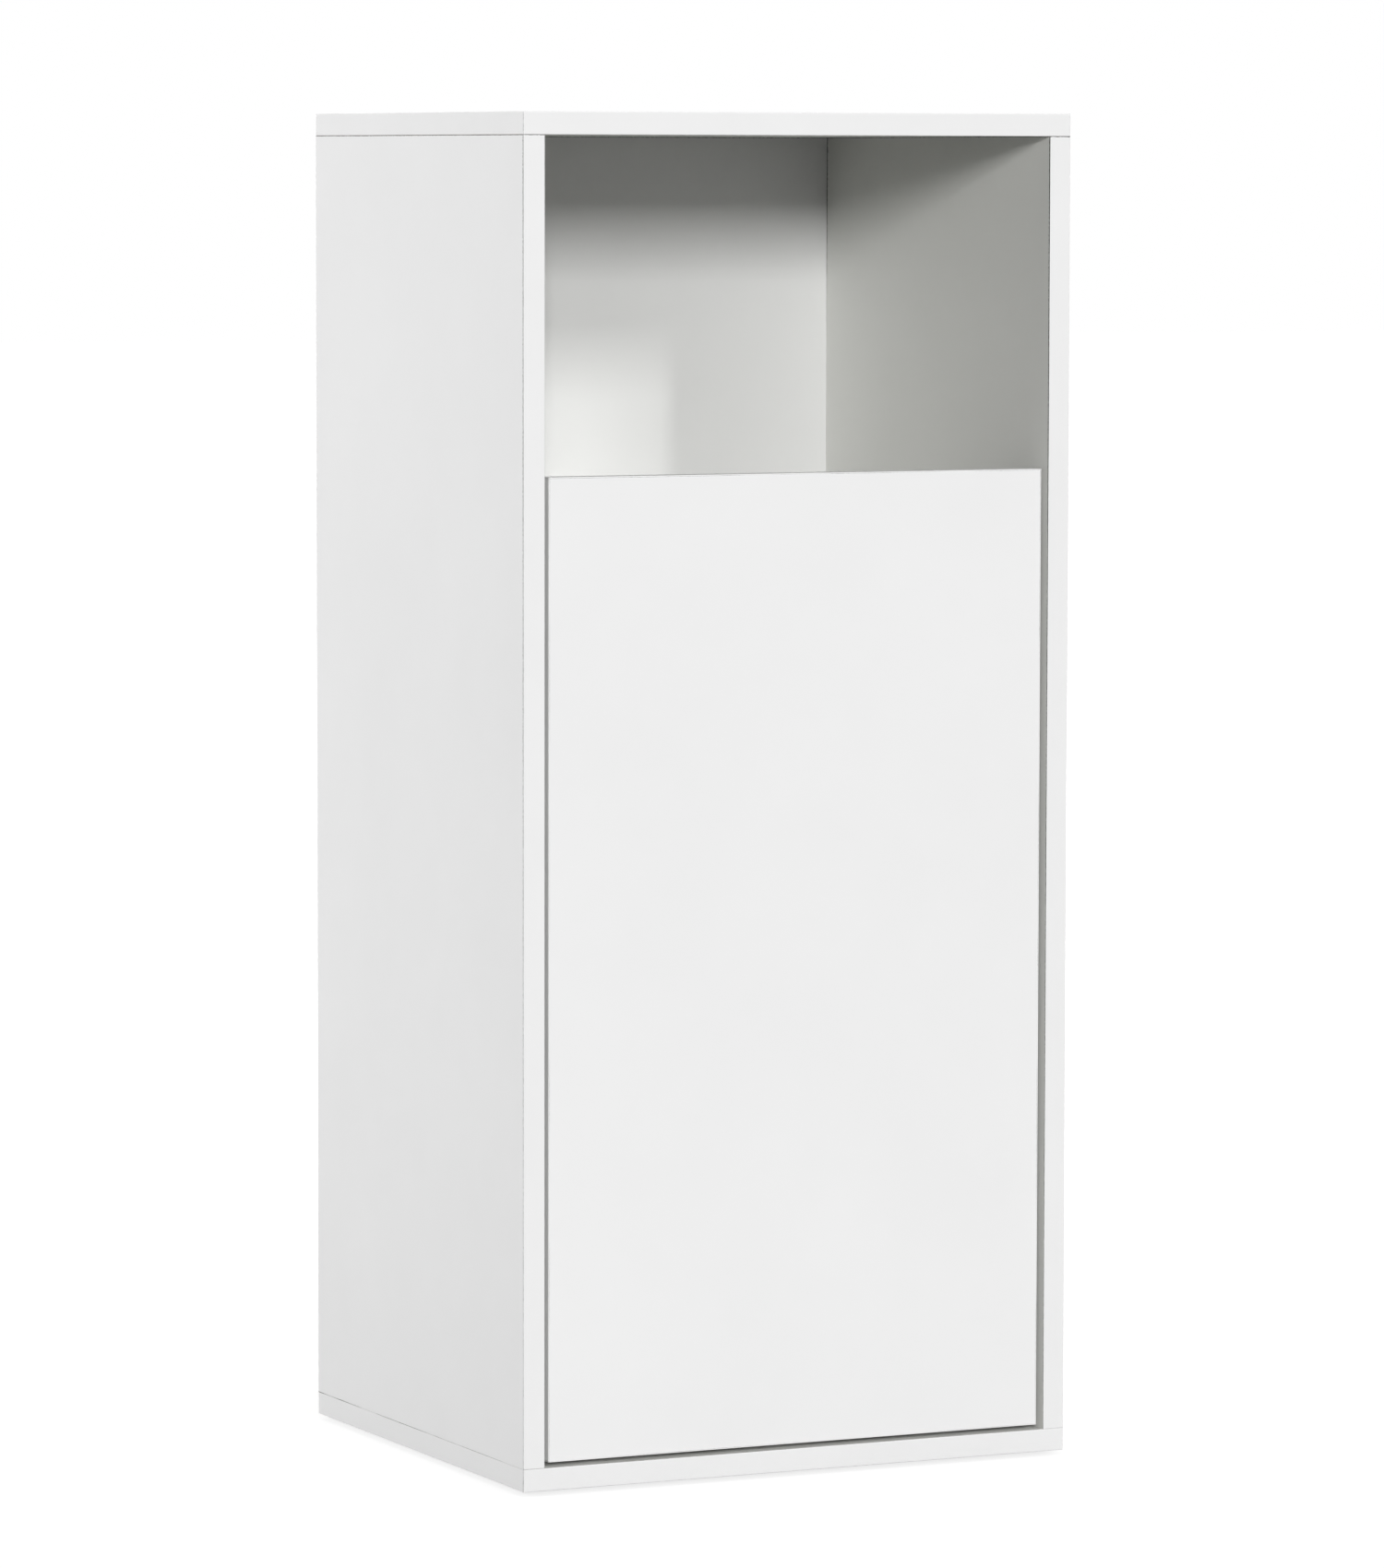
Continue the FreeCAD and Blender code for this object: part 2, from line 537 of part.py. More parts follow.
# Side panels: grooved for the back, drilled for dowels, shelf pins and, on the right, the hinge plates
def make_sides():
    for side, sign in SIDES:
        label = side + "_side_panel"
        inner = f"({sign} * {INNER_X})"
        outer = f"({sign} * {HALF_WIDTH})"
        groove_end = f"({sign} * {GROOVE_REACH_X})"
        low_x, high_x = (outer, inner) if sign < 0 else (inner, outer)
        groove_low, groove_high = (groove_end, inner) if sign < 0 else (inner, groove_end)
        blank = box(
            label + "_blank",
            (low_x, f"({FRONT_Y} + dims.band_thickness)", FLOOR_Z),
            (high_x, REAR_Y, CEILING_Z),
        )
        tools = [box(
            label + "_groove",
            (groove_low, GROOVE_FRONT_Y, FLOOR_Z),
            (groove_high, GROOVE_REAR_Y, CEILING_Z),
        )]
        dowel_hole = "dims.dowel_radius + dims.dowel_play"
        middle = f"{sign} * {SIDE_MIDDLE_X}"
        for index, line in enumerate(CARCASS_DOWEL_LINES):
            for end, end_z, inward in (("lower", FLOOR_Z, Z), ("upper", CEILING_Z, -Z)):
                tools.append(drill(
                    f"{label}_{end}_dowel_hole_{index}", dowel_hole, DOWEL_END_DEPTH,
                    (middle, line, end_z), inward,
                ))
        shelf_z = f"({SHELF_TOP_Z} - dims.board_thickness / 2)"
        for index, line in enumerate(SHELF_DOWEL_LINES):
            tools.append(drill(
                f"{label}_shelf_dowel_hole_{index}", dowel_hole, "dims.dowel_face_depth",
                (inner, line, shelf_z), X * sign,
            ))
        for row, line in enumerate(PIN_LINES):
            for index, step in enumerate(PIN_HOLE_STEPS):
                tools.append(drill(
                    f"{label}_pin_hole_{row}_{index}", "dims.pin_radius + dims.pin_play",
                    "dims.pin_hole_depth",
                    (inner, line, f"{PIN_Z} + ({step}) * dims.pin_hole_pitch"), X * sign,
                ))
        if side == "right":
            for level, hinge_z in HINGES:
                for end, turn in (("low", -1), ("high", 1)):
                    tools.append(drill(
                        f"{level}_plate_screw_hole_{end}",
                        fastener_hole("plate_screw"), fastener_depth("plate_screw"),
                        (inner, PLATE_Y, f"{hinge_z} + ({turn}) * dims.plate_screw_reach"), X,
                    ))
        keep(cut_from(label, blank, tools), label)
        keep(edge_band(
            side + "_side_band", f"{CEILING_Z} - {FLOOR_Z}", "dims.board_thickness",
            (high_x, f"({FRONT_Y} + dims.band_thickness)", FLOOR_Z), FACES_FRONT_UPRIGHT,
        ), side + "_side_edge_band")


# Back panel: thin board slid into the grooves and nailed to the fixed shelf
def make_back():
    reach_x = f"({GROOVE_REACH_X} - dims.groove_end_play)"
    reach_z = "(dims.groove_depth - dims.groove_end_play)"
    blank = box(
        "back_panel_blank",
        (f"-{reach_x}", BACK_FRONT_Y, f"({FLOOR_Z} - {reach_z})"),
        (reach_x, BACK_REAR_Y, f"({CEILING_Z} + {reach_z})"),
    )
    tools = [
        drill(f"back_nail_hole_{index}", fastener_hole("back_nail"), "dims.back_thickness", at, -Y)
        for index, at in enumerate(BACK_NAIL_PLACES)
    ]
    keep(cut_from("back_panel", blank, tools), "back_panel")
    nail = make_fastener("back_nail", "(dims.back_thickness + dims.back_nail_bite)", crossed=False)
    copies("back_panel_nails", nail, [(at, facing(Y)) for at in BACK_NAIL_PLACES])


# Fixed shelf: floor of the open compartment, dowelled to the sides below the door's top edge
def make_fixed_shelf():
    middle_z = f"({SHELF_TOP_Z} - dims.board_thickness / 2)"
    blank = box(
        "fixed_shelf_blank",
        (f"-{INNER_X}", f"({SHELF_FRONT_Y} + dims.band_thickness)", SHELF_UNDER_Z),
        (INNER_X, BACK_FRONT_Y, SHELF_TOP_Z),
    )
    tools = []
    for side, sign in SIDES:
        for index, line in enumerate(SHELF_DOWEL_LINES):
            tools.append(drill(
                f"fixed_shelf_{side}_dowel_hole_{index}", "dims.dowel_radius + dims.dowel_play",
                DOWEL_END_DEPTH, (f"{sign} * {INNER_X}", line, middle_z), X * -sign,
            ))
        tools.append(drill(
            f"fixed_shelf_{side}_catch_hole", fastener_hole("catch_screw"), fastener_depth("catch_screw"),
            (f"{CATCH_X} + ({sign}) * {CATCH_SCREW_REACH}", CATCH_MIDDLE_Y, SHELF_UNDER_Z), Z,
        ))
    for index, (nail_x, nail_y, nail_z) in enumerate(BACK_NAIL_PLACES):
        tools.append(drill(
            f"fixed_shelf_nail_hole_{index}", fastener_hole("back_nail"), fastener_depth("back_nail"),
            (nail_x, BACK_FRONT_Y, nail_z), -Y,
        ))
    keep(cut_from("fixed_shelf", blank, tools), "fixed_shelf")
    keep(edge_band(
        "fixed_shelf_band", f"2 * {INNER_X}", "dims.board_thickness",
        (f"-{INNER_X}", f"({SHELF_FRONT_Y} + dims.band_thickness)", SHELF_UNDER_Z), FACES_FRONT,
    ), "fixed_shelf_edge_band")


# Dowel groups of the three joints
def make_dowels():
    dowel = make_dowel()
    drop = "(dims.dowel_face_depth - dims.dowel_end_play)"
    joints = (
        ("top_panel_dowels", f"({CEILING_Z} + {drop})", -Z),
        ("bottom_panel_dowels", f"({FLOOR_Z} - {drop})", Z),
    )
    for label, start_z, direction in joints:
        copies(label, dowel, [
            ((f"{sign} * {SIDE_MIDDLE_X}", line, start_z), facing(direction))
            for side, sign in SIDES
            for line in CARCASS_DOWEL_LINES
        ])
    shelf_z = f"({SHELF_TOP_Z} - dims.board_thickness / 2)"
    copies("fixed_shelf_dowels", dowel, [
        ((f"{sign} * ({INNER_X} + {drop})", line, shelf_z), facing(X * -sign))
        for side, sign in SIDES
        for line in SHELF_DOWEL_LINES
    ])


# Adjustable shelf: lies loose on four pins in the middle holes of the rows
def make_adjustable_shelf():
    under_z = f"({PIN_Z} + dims.spade_thickness / 2)"
    half = f"({INNER_X} - dims.loose_shelf_side_play)"
    front_y = f"({LOOSE_SHELF_FRONT_Y} + dims.band_thickness)"
    keep(box(
        "adjustable_shelf",
        (f"-{half}", front_y, under_z),
        (half, f"({BACK_FRONT_Y} - dims.loose_shelf_back_play)", f"({under_z} + dims.board_thickness)"),
    ), "adjustable_shelf")
    keep(edge_band(
        "adjustable_shelf_band", f"2 * {half}", "dims.board_thickness",
        (f"-{half}", front_y, under_z), FACES_FRONT,
    ), "adjustable_shelf_edge_band")

    pin = doc.addObject("PartDesign::Body", "shelf_pin")
    shank = sketch_on(pin, "shelf_pin_shank", "YZ_Plane")
    circle(shank, "0", "0", "dims.pin_radius")
    extrude(pin, "Pad", shank, "dims.pin_shank")
    spade = sketch_on(pin, "shelf_pin_spade", "YZ_Plane")
    half_width = "dims.spade_width / 2"
    half_height = "dims.spade_thickness / 2"
    rectangle(spade, f"-{half_width}", f"-{half_height}", half_width, half_height)
    flat = extrude(pin, "Pad", spade, "dims.spade_reach", backwards=True)
    tip_x = -value("dims.spade_reach")
    tip_y = value(half_width)
    round_edges(
        pin, flat, "dims.spade_corner_radius",
        lambda edge: is_upright_at(edge, tip_x, tip_y) or is_upright_at(edge, tip_x, -tip_y),
    )
    copies("shelf_pins", pin, [
        ((f"{sign} * {INNER_X}", line, PIN_Z), FreeCAD.Rotation(Z, 0 if sign > 0 else 180))
        for side, sign in SIDES
        for line in PIN_LINES
    ])


# Floor glides: turned plastic discs nailed under the bottom panel
def make_glides():
    glide = doc.addObject("PartDesign::Body", "glide")
    section = sketch_on(glide, "glide_section", "XZ_Plane")
    bore = fastener_hole("glide_nail")
    recess = "dims.glide_nail_head_radius + dims.glide_recess_play"
    outline(section, [
        (bore, "dims.glide_height"),
        (bore, GLIDE_RECESS_DEPTH),
        (recess, GLIDE_RECESS_DEPTH),
        (recess, "0"),
        ("dims.glide_radius - dims.glide_bevel", "0"),
        ("dims.glide_radius", "dims.glide_bevel"),
        ("dims.glide_radius", "dims.glide_height"),
    ])
    revolve(glide, section)
    copies("floor_glides", glide, [((x, y, "0"), FreeCAD.Rotation()) for x, y in GLIDE_PLACES])
    nail_length = f"(dims.glide_height - {GLIDE_RECESS_DEPTH} + dims.glide_nail_bite)"
    nail = make_fastener("glide_nail", nail_length, crossed=False)
    copies("floor_glide_nails", nail, [((x, y, GLIDE_RECESS_DEPTH), facing(-Z)) for x, y in GLIDE_PLACES])


# Door: one board, drilled from behind for the hinge cups and the strike plate, banded on all four edges
def make_door():
    blank = box(
        "door_panel_blank",
        (f"(-{DOOR_EDGE_X} + dims.band_thickness)", DOOR_FRONT_Y, f"({DOOR_BOTTOM_Z} + dims.band_thickness)"),
        (f"({DOOR_EDGE_X} - dims.band_thickness)", DOOR_BACK_Y, f"({DOOR_TOP_Z} - dims.band_thickness)"),
    )
    tools = [drill(
        "strike_screw_hole", fastener_hole("strike_screw"), fastener_depth("strike_screw"),
        (CATCH_X, DOOR_BACK_Y, CATCH_Z), -Y,
    )]
    for level, hinge_z in HINGES:
        tools.append(drill(
            level + "_cup_hole", "dims.cup_radius + dims.cup_play", f"{CUP_DEPTH} + dims.cup_play",
            (CUP_X, DOOR_BACK_Y, hinge_z), -Y,
        ))
        for end, turn in (("low", -1), ("high", 1)):
            tools.append(drill(
                f"{level}_cup_screw_hole_{end}", fastener_hole("cup_screw"), fastener_depth("cup_screw"),
                (CUP_EAR_X, DOOR_BACK_Y, f"{hinge_z} + ({turn}) * dims.cup_screw_reach"), -Y,
            ))
    keep(cut_from("door_panel", blank, tools), "door_panel")

    width = f"2 * {DOOR_EDGE_X}"
    rise = "dims.door_height - 2 * dims.band_thickness"
    inner_z = f"({DOOR_BOTTOM_Z} + dims.band_thickness)"
    group("door_edge_bands", [
        edge_band(
            "door_top_band", width, "dims.door_thickness",
            (f"-{DOOR_EDGE_X}", DOOR_FRONT_Y, f"({DOOR_TOP_Z} - dims.band_thickness)"), FACES_UP,
        ),
        edge_band(
            "door_bottom_band", width, "dims.door_thickness",
            (f"-{DOOR_EDGE_X}", DOOR_BACK_Y, inner_z), FACES_DOWN,
        ),
        edge_band(
            "door_left_band", rise, "dims.door_thickness",
            (f"(-{DOOR_EDGE_X} + dims.band_thickness)", DOOR_FRONT_Y, inner_z), FACES_LEFT_UPRIGHT,
        ),
        edge_band(
            "door_right_band", rise, "dims.door_thickness",
            (f"({DOOR_EDGE_X} - dims.band_thickness)", DOOR_BACK_Y, inner_z), FACES_RIGHT_UPRIGHT,
        ),
    ])


# Hinge cup: cast cup with a flange and two ears, slotted for the arm and bored across for the pin.
# Its own +Z leaves the door's rear face, and its origin is the cup's centre on that face.
def make_hinge_cup(level, hinge_z):
    name = level + "_hinge_cup"
    body = doc.addObject("PartDesign::Body", name)
    rim = sketch_on(body, name + "_rim", "XY_Plane")
    circle(rim, "0", "0", "dims.cup_radius + dims.cup_rim_overlap")
    extrude(body, "Pad", rim, "dims.cup_rim_height")
    ears = sketch_on(body, name + "_ears", "XY_Plane")
    rectangle(
        ears, "-dims.cup_ear_offset - dims.cup_ear_half_width", "-dims.cup_ear_reach",
        "-dims.cup_ear_offset + dims.cup_ear_half_width", "dims.cup_ear_reach",
    )
    extrude(body, "Pad", ears, "dims.cup_rim_height")
    barrel = sketch_on(body, name + "_barrel", "XY_Plane")
    circle(barrel, "0", "0", "dims.cup_radius")
    extrude(body, "Pad", barrel, CUP_DEPTH, backwards=True)

    slot = sketch_on(body, name + "_slot", "XY_Plane", "dims.cup_rim_height")
    slot_half = "(dims.arm_half_width + dims.cup_slot_play)"
    rectangle(
        slot, f"{PIN_OFFSET} - dims.arm_neck_reach - dims.arm_thickness / 2 - dims.cup_slot_play",
        f"-{slot_half}", f"{PIN_OFFSET} + dims.arm_eye_radius + dims.cup_slot_play", slot_half,
    )
    pocket(body, slot, f"dims.cup_rim_height + {CUP_DEPTH} - dims.cup_floor")
    bore = sketch_on(body, name + "_pin_bore", "XZ_Plane")
    circle(bore, PIN_OFFSET, "-dims.pivot_back_distance", "dims.hinge_pin_radius + dims.hinge_pin_play")
    pocket(body, bore, f"2 * ({PIN_HALF_LENGTH} + dims.hinge_pin_play)", side="Symmetric")
    screw_holes = sketch_on(body, name + "_screw_holes", "XY_Plane", "dims.cup_rim_height")
    for reach in ("dims.cup_screw_reach", "-dims.cup_screw_reach"):
        circle(screw_holes, "-dims.cup_ear_offset", reach, fastener_hole("cup_screw"))
    pocket(body, screw_holes, "dims.cup_rim_height")
    place(body, (CUP_X, DOOR_BACK_Y, hinge_z), axes(X, -Z, Y))
    keep(body, name)


# Hinge arm: strip with an eye on the pin, cranked out of the cup and back to the side panel.
# Its origin is on the hinge pin's axis at the hinge's middle.
def make_hinge_arm(level, hinge_z):
    name = level + "_hinge_arm"
    body = doc.addObject("PartDesign::Body", name)
    half = "dims.arm_thickness / 2"
    leg_out = f"-dims.arm_neck_reach - {half}"
    leg_in = f"-dims.arm_neck_reach + {half}"
    foot_out = f"{PLATE_TOP_X} - {PIVOT_X}"
    foot_in = f"{foot_out} - dims.arm_thickness"
    crank_rear = f"{ARM_CRANK} + dims.arm_thickness"
    foot_end = f"{ARM_CRANK} + dims.arm_foot_length"
    strip = sketch_on(body, name + "_strip", "XY_Plane")
    outline(strip, [
        ("0", f"-{half}"), (leg_out, f"-{half}"), (leg_out, crank_rear), (foot_in, crank_rear),
        (foot_in, foot_end), (foot_out, foot_end), (foot_out, ARM_CRANK), (leg_in, ARM_CRANK),
        (leg_in, half), ("0", half),
    ])
    bent = extrude(body, "Pad", strip, "2 * dims.arm_half_width", side="Symmetric")
    inner_bends = [(foot_in, crank_rear), (leg_in, ARM_CRANK), (leg_in, half)]
    outer_bends = [(leg_out, f"-{half}"), (leg_out, crank_rear), (foot_out, ARM_CRANK)]
    for bends, radius in (
        (inner_bends, "dims.arm_bend_radius"),
        (outer_bends, "dims.arm_bend_radius + dims.arm_thickness"),
    ):
        corners = [(value(x), value(y)) for x, y in bends]
        bent = round_edges(
            body, bent, radius,
            lambda edge: any(is_upright_at(edge, x, y) for x, y in corners),
        )
    eye = sketch_on(body, name + "_eye", "XY_Plane")
    circle(eye, "0", "0", "dims.arm_eye_radius")
    extrude(body, "Pad", eye, "2 * dims.arm_half_width", side="Symmetric")
    bore = sketch_on(body, name + "_bore", "XY_Plane")
    circle(bore, "0", "0", "dims.hinge_pin_radius + dims.hinge_pin_play")
    pocket(body, bore, "2 * dims.arm_half_width", side="Symmetric")
    screw_holes = sketch_on(body, name + "_screw_holes", "YZ_Plane", foot_in)
    for spot in ("dims.adjusting_front_place", "dims.adjusting_rear_place"):
        circle(screw_holes, f"{ARM_CRANK} + {spot}", "0", fastener_hole("adjusting_screw"))
    pocket(body, screw_holes, "dims.arm_thickness", backwards=True)
    place(body, (PIVOT_X, PIVOT_Y, hinge_z))
    keep(body, name)


# Mounting plate: rail with two wings, screwed to the right side panel, carries the arm's foot.
# Its origin is on the panel's face between the two plate screws.
def make_hinge_plate(level, hinge_z):
    name = level + "_hinge_plate"
    body = doc.addObject("PartDesign::Body", name + "_blank")
    wings = sketch_on(body, name + "_wings", "YZ_Plane")
    rectangle(
        wings, "-dims.plate_wing_half_depth", "-dims.plate_wing_reach",
        "dims.plate_wing_half_depth", "dims.plate_wing_reach",
    )
    plate = extrude(body, "Pad", wings, "dims.plate_wing_thickness", backwards=True)
    round_edges(body, plate, "dims.plate_corner_radius", lambda edge: runs_along(edge, X))
    rail = sketch_on(body, name + "_rail", "YZ_Plane")
    rectangle(
        rail, f"{ARM_FOOT_Y} - {PLATE_Y}", "-dims.plate_rail_half_width",
        f"{ARM_FOOT_Y} - {PLATE_Y} + dims.arm_foot_length", "dims.plate_rail_half_width",
    )
    extrude(body, "Pad", rail, "dims.plate_height", backwards=True)
    tapped = sketch_on(body, name + "_tapped_holes", "YZ_Plane")
    for spot in ("dims.adjusting_front_place", "dims.adjusting_rear_place"):
        circle(tapped, f"{ARM_FOOT_Y} - {PLATE_Y} + {spot}", "0", fastener_hole("adjusting_screw"))
    pocket(body, tapped, "dims.plate_height")
    place(body, (INNER_X, PLATE_Y, hinge_z))

    sinks = []
    for end, turn in (("low", -1), ("high", 1)):
        sink = doc.addObject("Part::Cone", f"{name}_sink_{end}")
        sink.setExpression("Radius1", "dims.plate_screw_head_radius + dims.fastener_play")
        sink.setExpression("Radius2", fastener_hole("plate_screw"))
        sink.setExpression("Height", "dims.plate_wing_thickness")
        place(sink, (PLATE_WING_X, PLATE_Y, f"{hinge_z} + ({turn}) * dims.plate_screw_reach"), facing(X))
        sinks.append(sink)
    keep(cut_from(name, body, sinks), name)


# Hinges: each has a cup and a pin on the door, and an arm and a plate on the right side panel
def make_hinges():
    for level, hinge_z in HINGES:
        make_hinge_cup(level, hinge_z)
        make_hinge_arm(level, hinge_z)
        make_hinge_plate(level, hinge_z)
        pin = doc.addObject("Part::Cylinder", level + "_hinge_pin")
        pin.setExpression("Radius", "dims.hinge_pin_radius")
        pin.setExpression("Height", f"2 * {PIN_HALF_LENGTH}")
        place(pin, (PIVOT_X, PIVOT_Y, f"{hinge_z} - {PIN_HALF_LENGTH}"))
        keep(pin, level + "_hinge_pin")
    ends = [(hinge_z, turn) for level, hinge_z in HINGES for turn in (-1, 1)]
    cup_screw = make_fastener("cup_screw", "(dims.cup_rim_height + dims.cup_screw_bite)")
    cup_face_y = f"{DOOR_BACK_Y} + dims.cup_rim_height"
    copies("hinge_cup_screws", cup_screw, [
        ((CUP_EAR_X, cup_face_y, f"{z} + ({turn}) * dims.cup_screw_reach"), facing(Y))
        for z, turn in ends
    ])
    plate_screw = make_fastener(
        "plate_screw", "(dims.plate_wing_thickness + dims.plate_screw_bite)",
        sunk_in="dims.plate_wing_thickness",
    )
    copies("hinge_plate_screws", plate_screw, [
        ((PLATE_WING_X, PLATE_Y, f"{z} + ({turn}) * dims.plate_screw_reach"), facing(-X))
        for z, turn in ends
    ])
    adjusting_screw = make_fastener(
        "adjusting_screw", "(dims.arm_thickness + dims.plate_height - dims.hole_end_play)",
    )
    copies("hinge_adjusting_screws", adjusting_screw, [
        ((f"{PLATE_TOP_X} - dims.arm_thickness", f"{ARM_FOOT_Y} + {spot}", hinge_z), facing(-X))
        for level, hinge_z in HINGES
        for spot in ("dims.adjusting_front_place", "dims.adjusting_rear_place")
    ])


# Magnetic catch: a housing under the fixed shelf holds a magnet between two steel pole plates,
# and a steel strike plate on the door's rear face meets them when the door is shut
def make_catch():
    half_width = "dims.catch_width / 2"
    under_z = f"({SHELF_UNDER_Z} - dims.catch_height)"
    housing_blank = box(
        "catch_housing_blank",
        (f"({CATCH_X} - {half_width})", CATCH_FRONT_Y, under_z),
        (f"({CATCH_X} + {half_width})", f"({CATCH_FRONT_Y} + dims.catch_depth)", SHELF_UNDER_Z),
    )
    pack_half_width = "(dims.magnet_width / 2 + dims.catch_play)"
    pack_half_height = "(dims.magnet_height / 2 + dims.pole_thickness + dims.catch_play)"
    tools = [box(
        "catch_housing_pocket",
        (f"({CATCH_X} - {pack_half_width})", CATCH_FRONT_Y, f"({CATCH_Z} - {pack_half_height})"),
        (
            f"({CATCH_X} + {pack_half_width})", f"({CATCH_FRONT_Y} + dims.magnet_depth + dims.catch_play)",
            f"({CATCH_Z} + {pack_half_height})",
        ),
    )]
    screw_places = [
        (f"{CATCH_X} + ({sign}) * {CATCH_SCREW_REACH}", CATCH_MIDDLE_Y, under_z)
        for side, sign in SIDES
    ]
    for index, at in enumerate(screw_places):
        tools.append(drill(
            f"catch_screw_hole_{index}", fastener_hole("catch_screw"), "dims.catch_height", at, Z,
        ))
    keep(cut_from("catch_housing", housing_blank, tools), "catch_housing")

    half_magnet = "dims.magnet_width / 2"
    pack_rear_y = f"({CATCH_FRONT_Y} + dims.magnet_depth)"
    keep(box(
        "catch_magnet",
        (f"({CATCH_X} - {half_magnet})", CATCH_FRONT_Y, f"({CATCH_Z} - dims.magnet_height / 2)"),
        (f"({CATCH_X} + {half_magnet})", pack_rear_y, f"({CATCH_Z} + dims.magnet_height / 2)"),
    ), "catch_magnet")
    poles = []
    for name, low_z in (
        ("lower_pole_plate", f"({CATCH_Z} - dims.magnet_height / 2 - dims.pole_thickness)"),
        ("upper_pole_plate", f"({CATCH_Z} + dims.magnet_height / 2)"),
    ):
        poles.append(box(
            name,
            (f"({CATCH_X} - {half_magnet})", POLE_FRONT_Y, low_z),
            (f"({CATCH_X} + {half_magnet})", pack_rear_y, f"({low_z} + dims.pole_thickness)"),
        ))
    group("catch_pole_plates", poles)
    catch_screw = make_fastener("catch_screw", "(dims.catch_height + dims.catch_screw_bite)")
    copies("catch_screws", catch_screw, [(at, facing(-Z)) for at in screw_places])

    strike_blank = box(
        "strike_plate_blank",
        (f"({CATCH_X} - dims.strike_width / 2)", DOOR_BACK_Y, f"({CATCH_Z} - dims.strike_height / 2)"),
        (
            f"({CATCH_X} + dims.strike_width / 2)", f"({DOOR_BACK_Y} + dims.strike_thickness)",
            f"({CATCH_Z} + dims.strike_height / 2)",
        ),
    )
    sink = doc.addObject("Part::Cone", "strike_sink")
    sink.setExpression("Radius1", "dims.strike_screw_head_radius + dims.fastener_play")
    sink.setExpression("Radius2", fastener_hole("strike_screw"))
    sink.setExpression("Height", "dims.strike_thickness")
    screw_at = (CATCH_X, f"{DOOR_BACK_Y} + dims.strike_thickness", CATCH_Z)
    place(sink, screw_at, facing(-Y))
    keep(cut_from("catch_strike_plate", strike_blank, [sink]), "catch_strike_plate")
    strike_screw = make_fastener(
        "strike_screw", "(dims.strike_thickness + dims.strike_screw_bite)", sunk_in="dims.strike_thickness",
    )
    copies("catch_strike_screw", strike_screw, [(screw_at, facing(Y))])


make_top_and_bottom()
make_sides()
make_back()
make_fixed_shelf()
make_dowels()
make_adjustable_shelf()
make_glides()
make_door()
make_hinges()
make_catch()
doc.recompute()

failed = [item.Label for item in doc.Objects if {"Invalid", "Error"} & set(item.State)]
failed += [piece.Label for piece in subparts if piece.Shape.isNull() or not piece.Shape.isValid()]
if failed:
    raise RuntimeError("failed objects: " + ", ".join(failed))

os.makedirs("parts", exist_ok=True)
for piece in subparts:
    piece.Shape.exportStep(os.path.join("parts", piece.Label + ".step"))
print("wrote %d sub-parts" % len(subparts))
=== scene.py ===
import math
import bpy
from mathutils import Matrix, Vector


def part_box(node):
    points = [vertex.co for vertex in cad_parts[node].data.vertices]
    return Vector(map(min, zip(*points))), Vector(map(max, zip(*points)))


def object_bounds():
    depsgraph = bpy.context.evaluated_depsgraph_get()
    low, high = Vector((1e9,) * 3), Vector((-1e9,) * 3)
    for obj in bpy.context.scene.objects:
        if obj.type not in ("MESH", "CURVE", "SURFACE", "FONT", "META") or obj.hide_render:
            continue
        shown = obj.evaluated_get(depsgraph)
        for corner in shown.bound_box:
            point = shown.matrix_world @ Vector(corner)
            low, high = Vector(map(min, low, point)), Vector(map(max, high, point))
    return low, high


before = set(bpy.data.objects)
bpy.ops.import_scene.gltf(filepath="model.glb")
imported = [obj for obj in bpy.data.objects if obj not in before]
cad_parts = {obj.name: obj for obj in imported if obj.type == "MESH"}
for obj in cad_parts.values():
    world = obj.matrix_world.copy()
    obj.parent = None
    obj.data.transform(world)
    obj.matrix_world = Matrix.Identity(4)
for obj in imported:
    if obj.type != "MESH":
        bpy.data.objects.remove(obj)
cad_low, cad_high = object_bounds()


# Carcass boards: top, bottom and two sides of particleboard, with melamine film pressed on both faces.
# The film is satin with a fine pearl texture. Inside it is given a greyer, slightly greenish white, which
# is painted shade of the dim compartment. Sawn edges, grooves and drilled holes show bare chips, and a dark
# hairline runs along the film's joints and sawn rims. In the back corners of the side walls a dark line
# that widens towards the top is painted shade.
X_AXIS, Y_AXIS, Z_AXIS = range(3)
LOW, HIGH = range(2)
SHARE = (0.0, 1.0)
NOISE_SPREAD = (0.3, 0.7)


def feed(tree, socket, source):
    """Link a node's output to a socket, or fill the socket with a plain value."""
    if isinstance(source, bpy.types.NodeSocket):
        tree.links.new(source, socket)
    else:
        socket.default_value = source


def put(tree, kind, feeds=None, **options):
    """Add a shader node, set its options and feed its inputs."""
    made = tree.nodes.new("ShaderNode" + kind)
    for option, setting in options.items():
        setattr(made, option, setting)
    for label, source in (feeds or {}).items():
        feed(tree, made.inputs[label], source)
    return made


def calculated(tree, operation, first, second=0.0):
    """Output of one Math node."""
    return put(tree, "Math", {0: first, 1: second}, operation=operation).outputs["Value"]


def ranged(tree, source, ends, new_ends):
    """Value moved from one range to another, and held inside it."""
    labels = ("Value", "From Min", "From Max", "To Min", "To Max")
    return put(tree, "MapRange", dict(zip(labels, (source, *ends, *new_ends)))).outputs["Result"]


def between(tree, share, first, second):
    """First value where the share is 0, second where it is 1."""
    return ranged(tree, share, SHARE, (first, second))


def blended(tree, share, first, second):
    """First colour where the share is 0, second where it is 1."""
    mix = put(tree, "Mix", {"Factor": share}, data_type="RGBA")
    for label, source in (("A", first), ("B", second)):
        feed(tree, next(s for s in mix.inputs if s.name == label and s.type == "RGBA"), source)
    return next(s for s in mix.outputs if s.type == "RGBA")


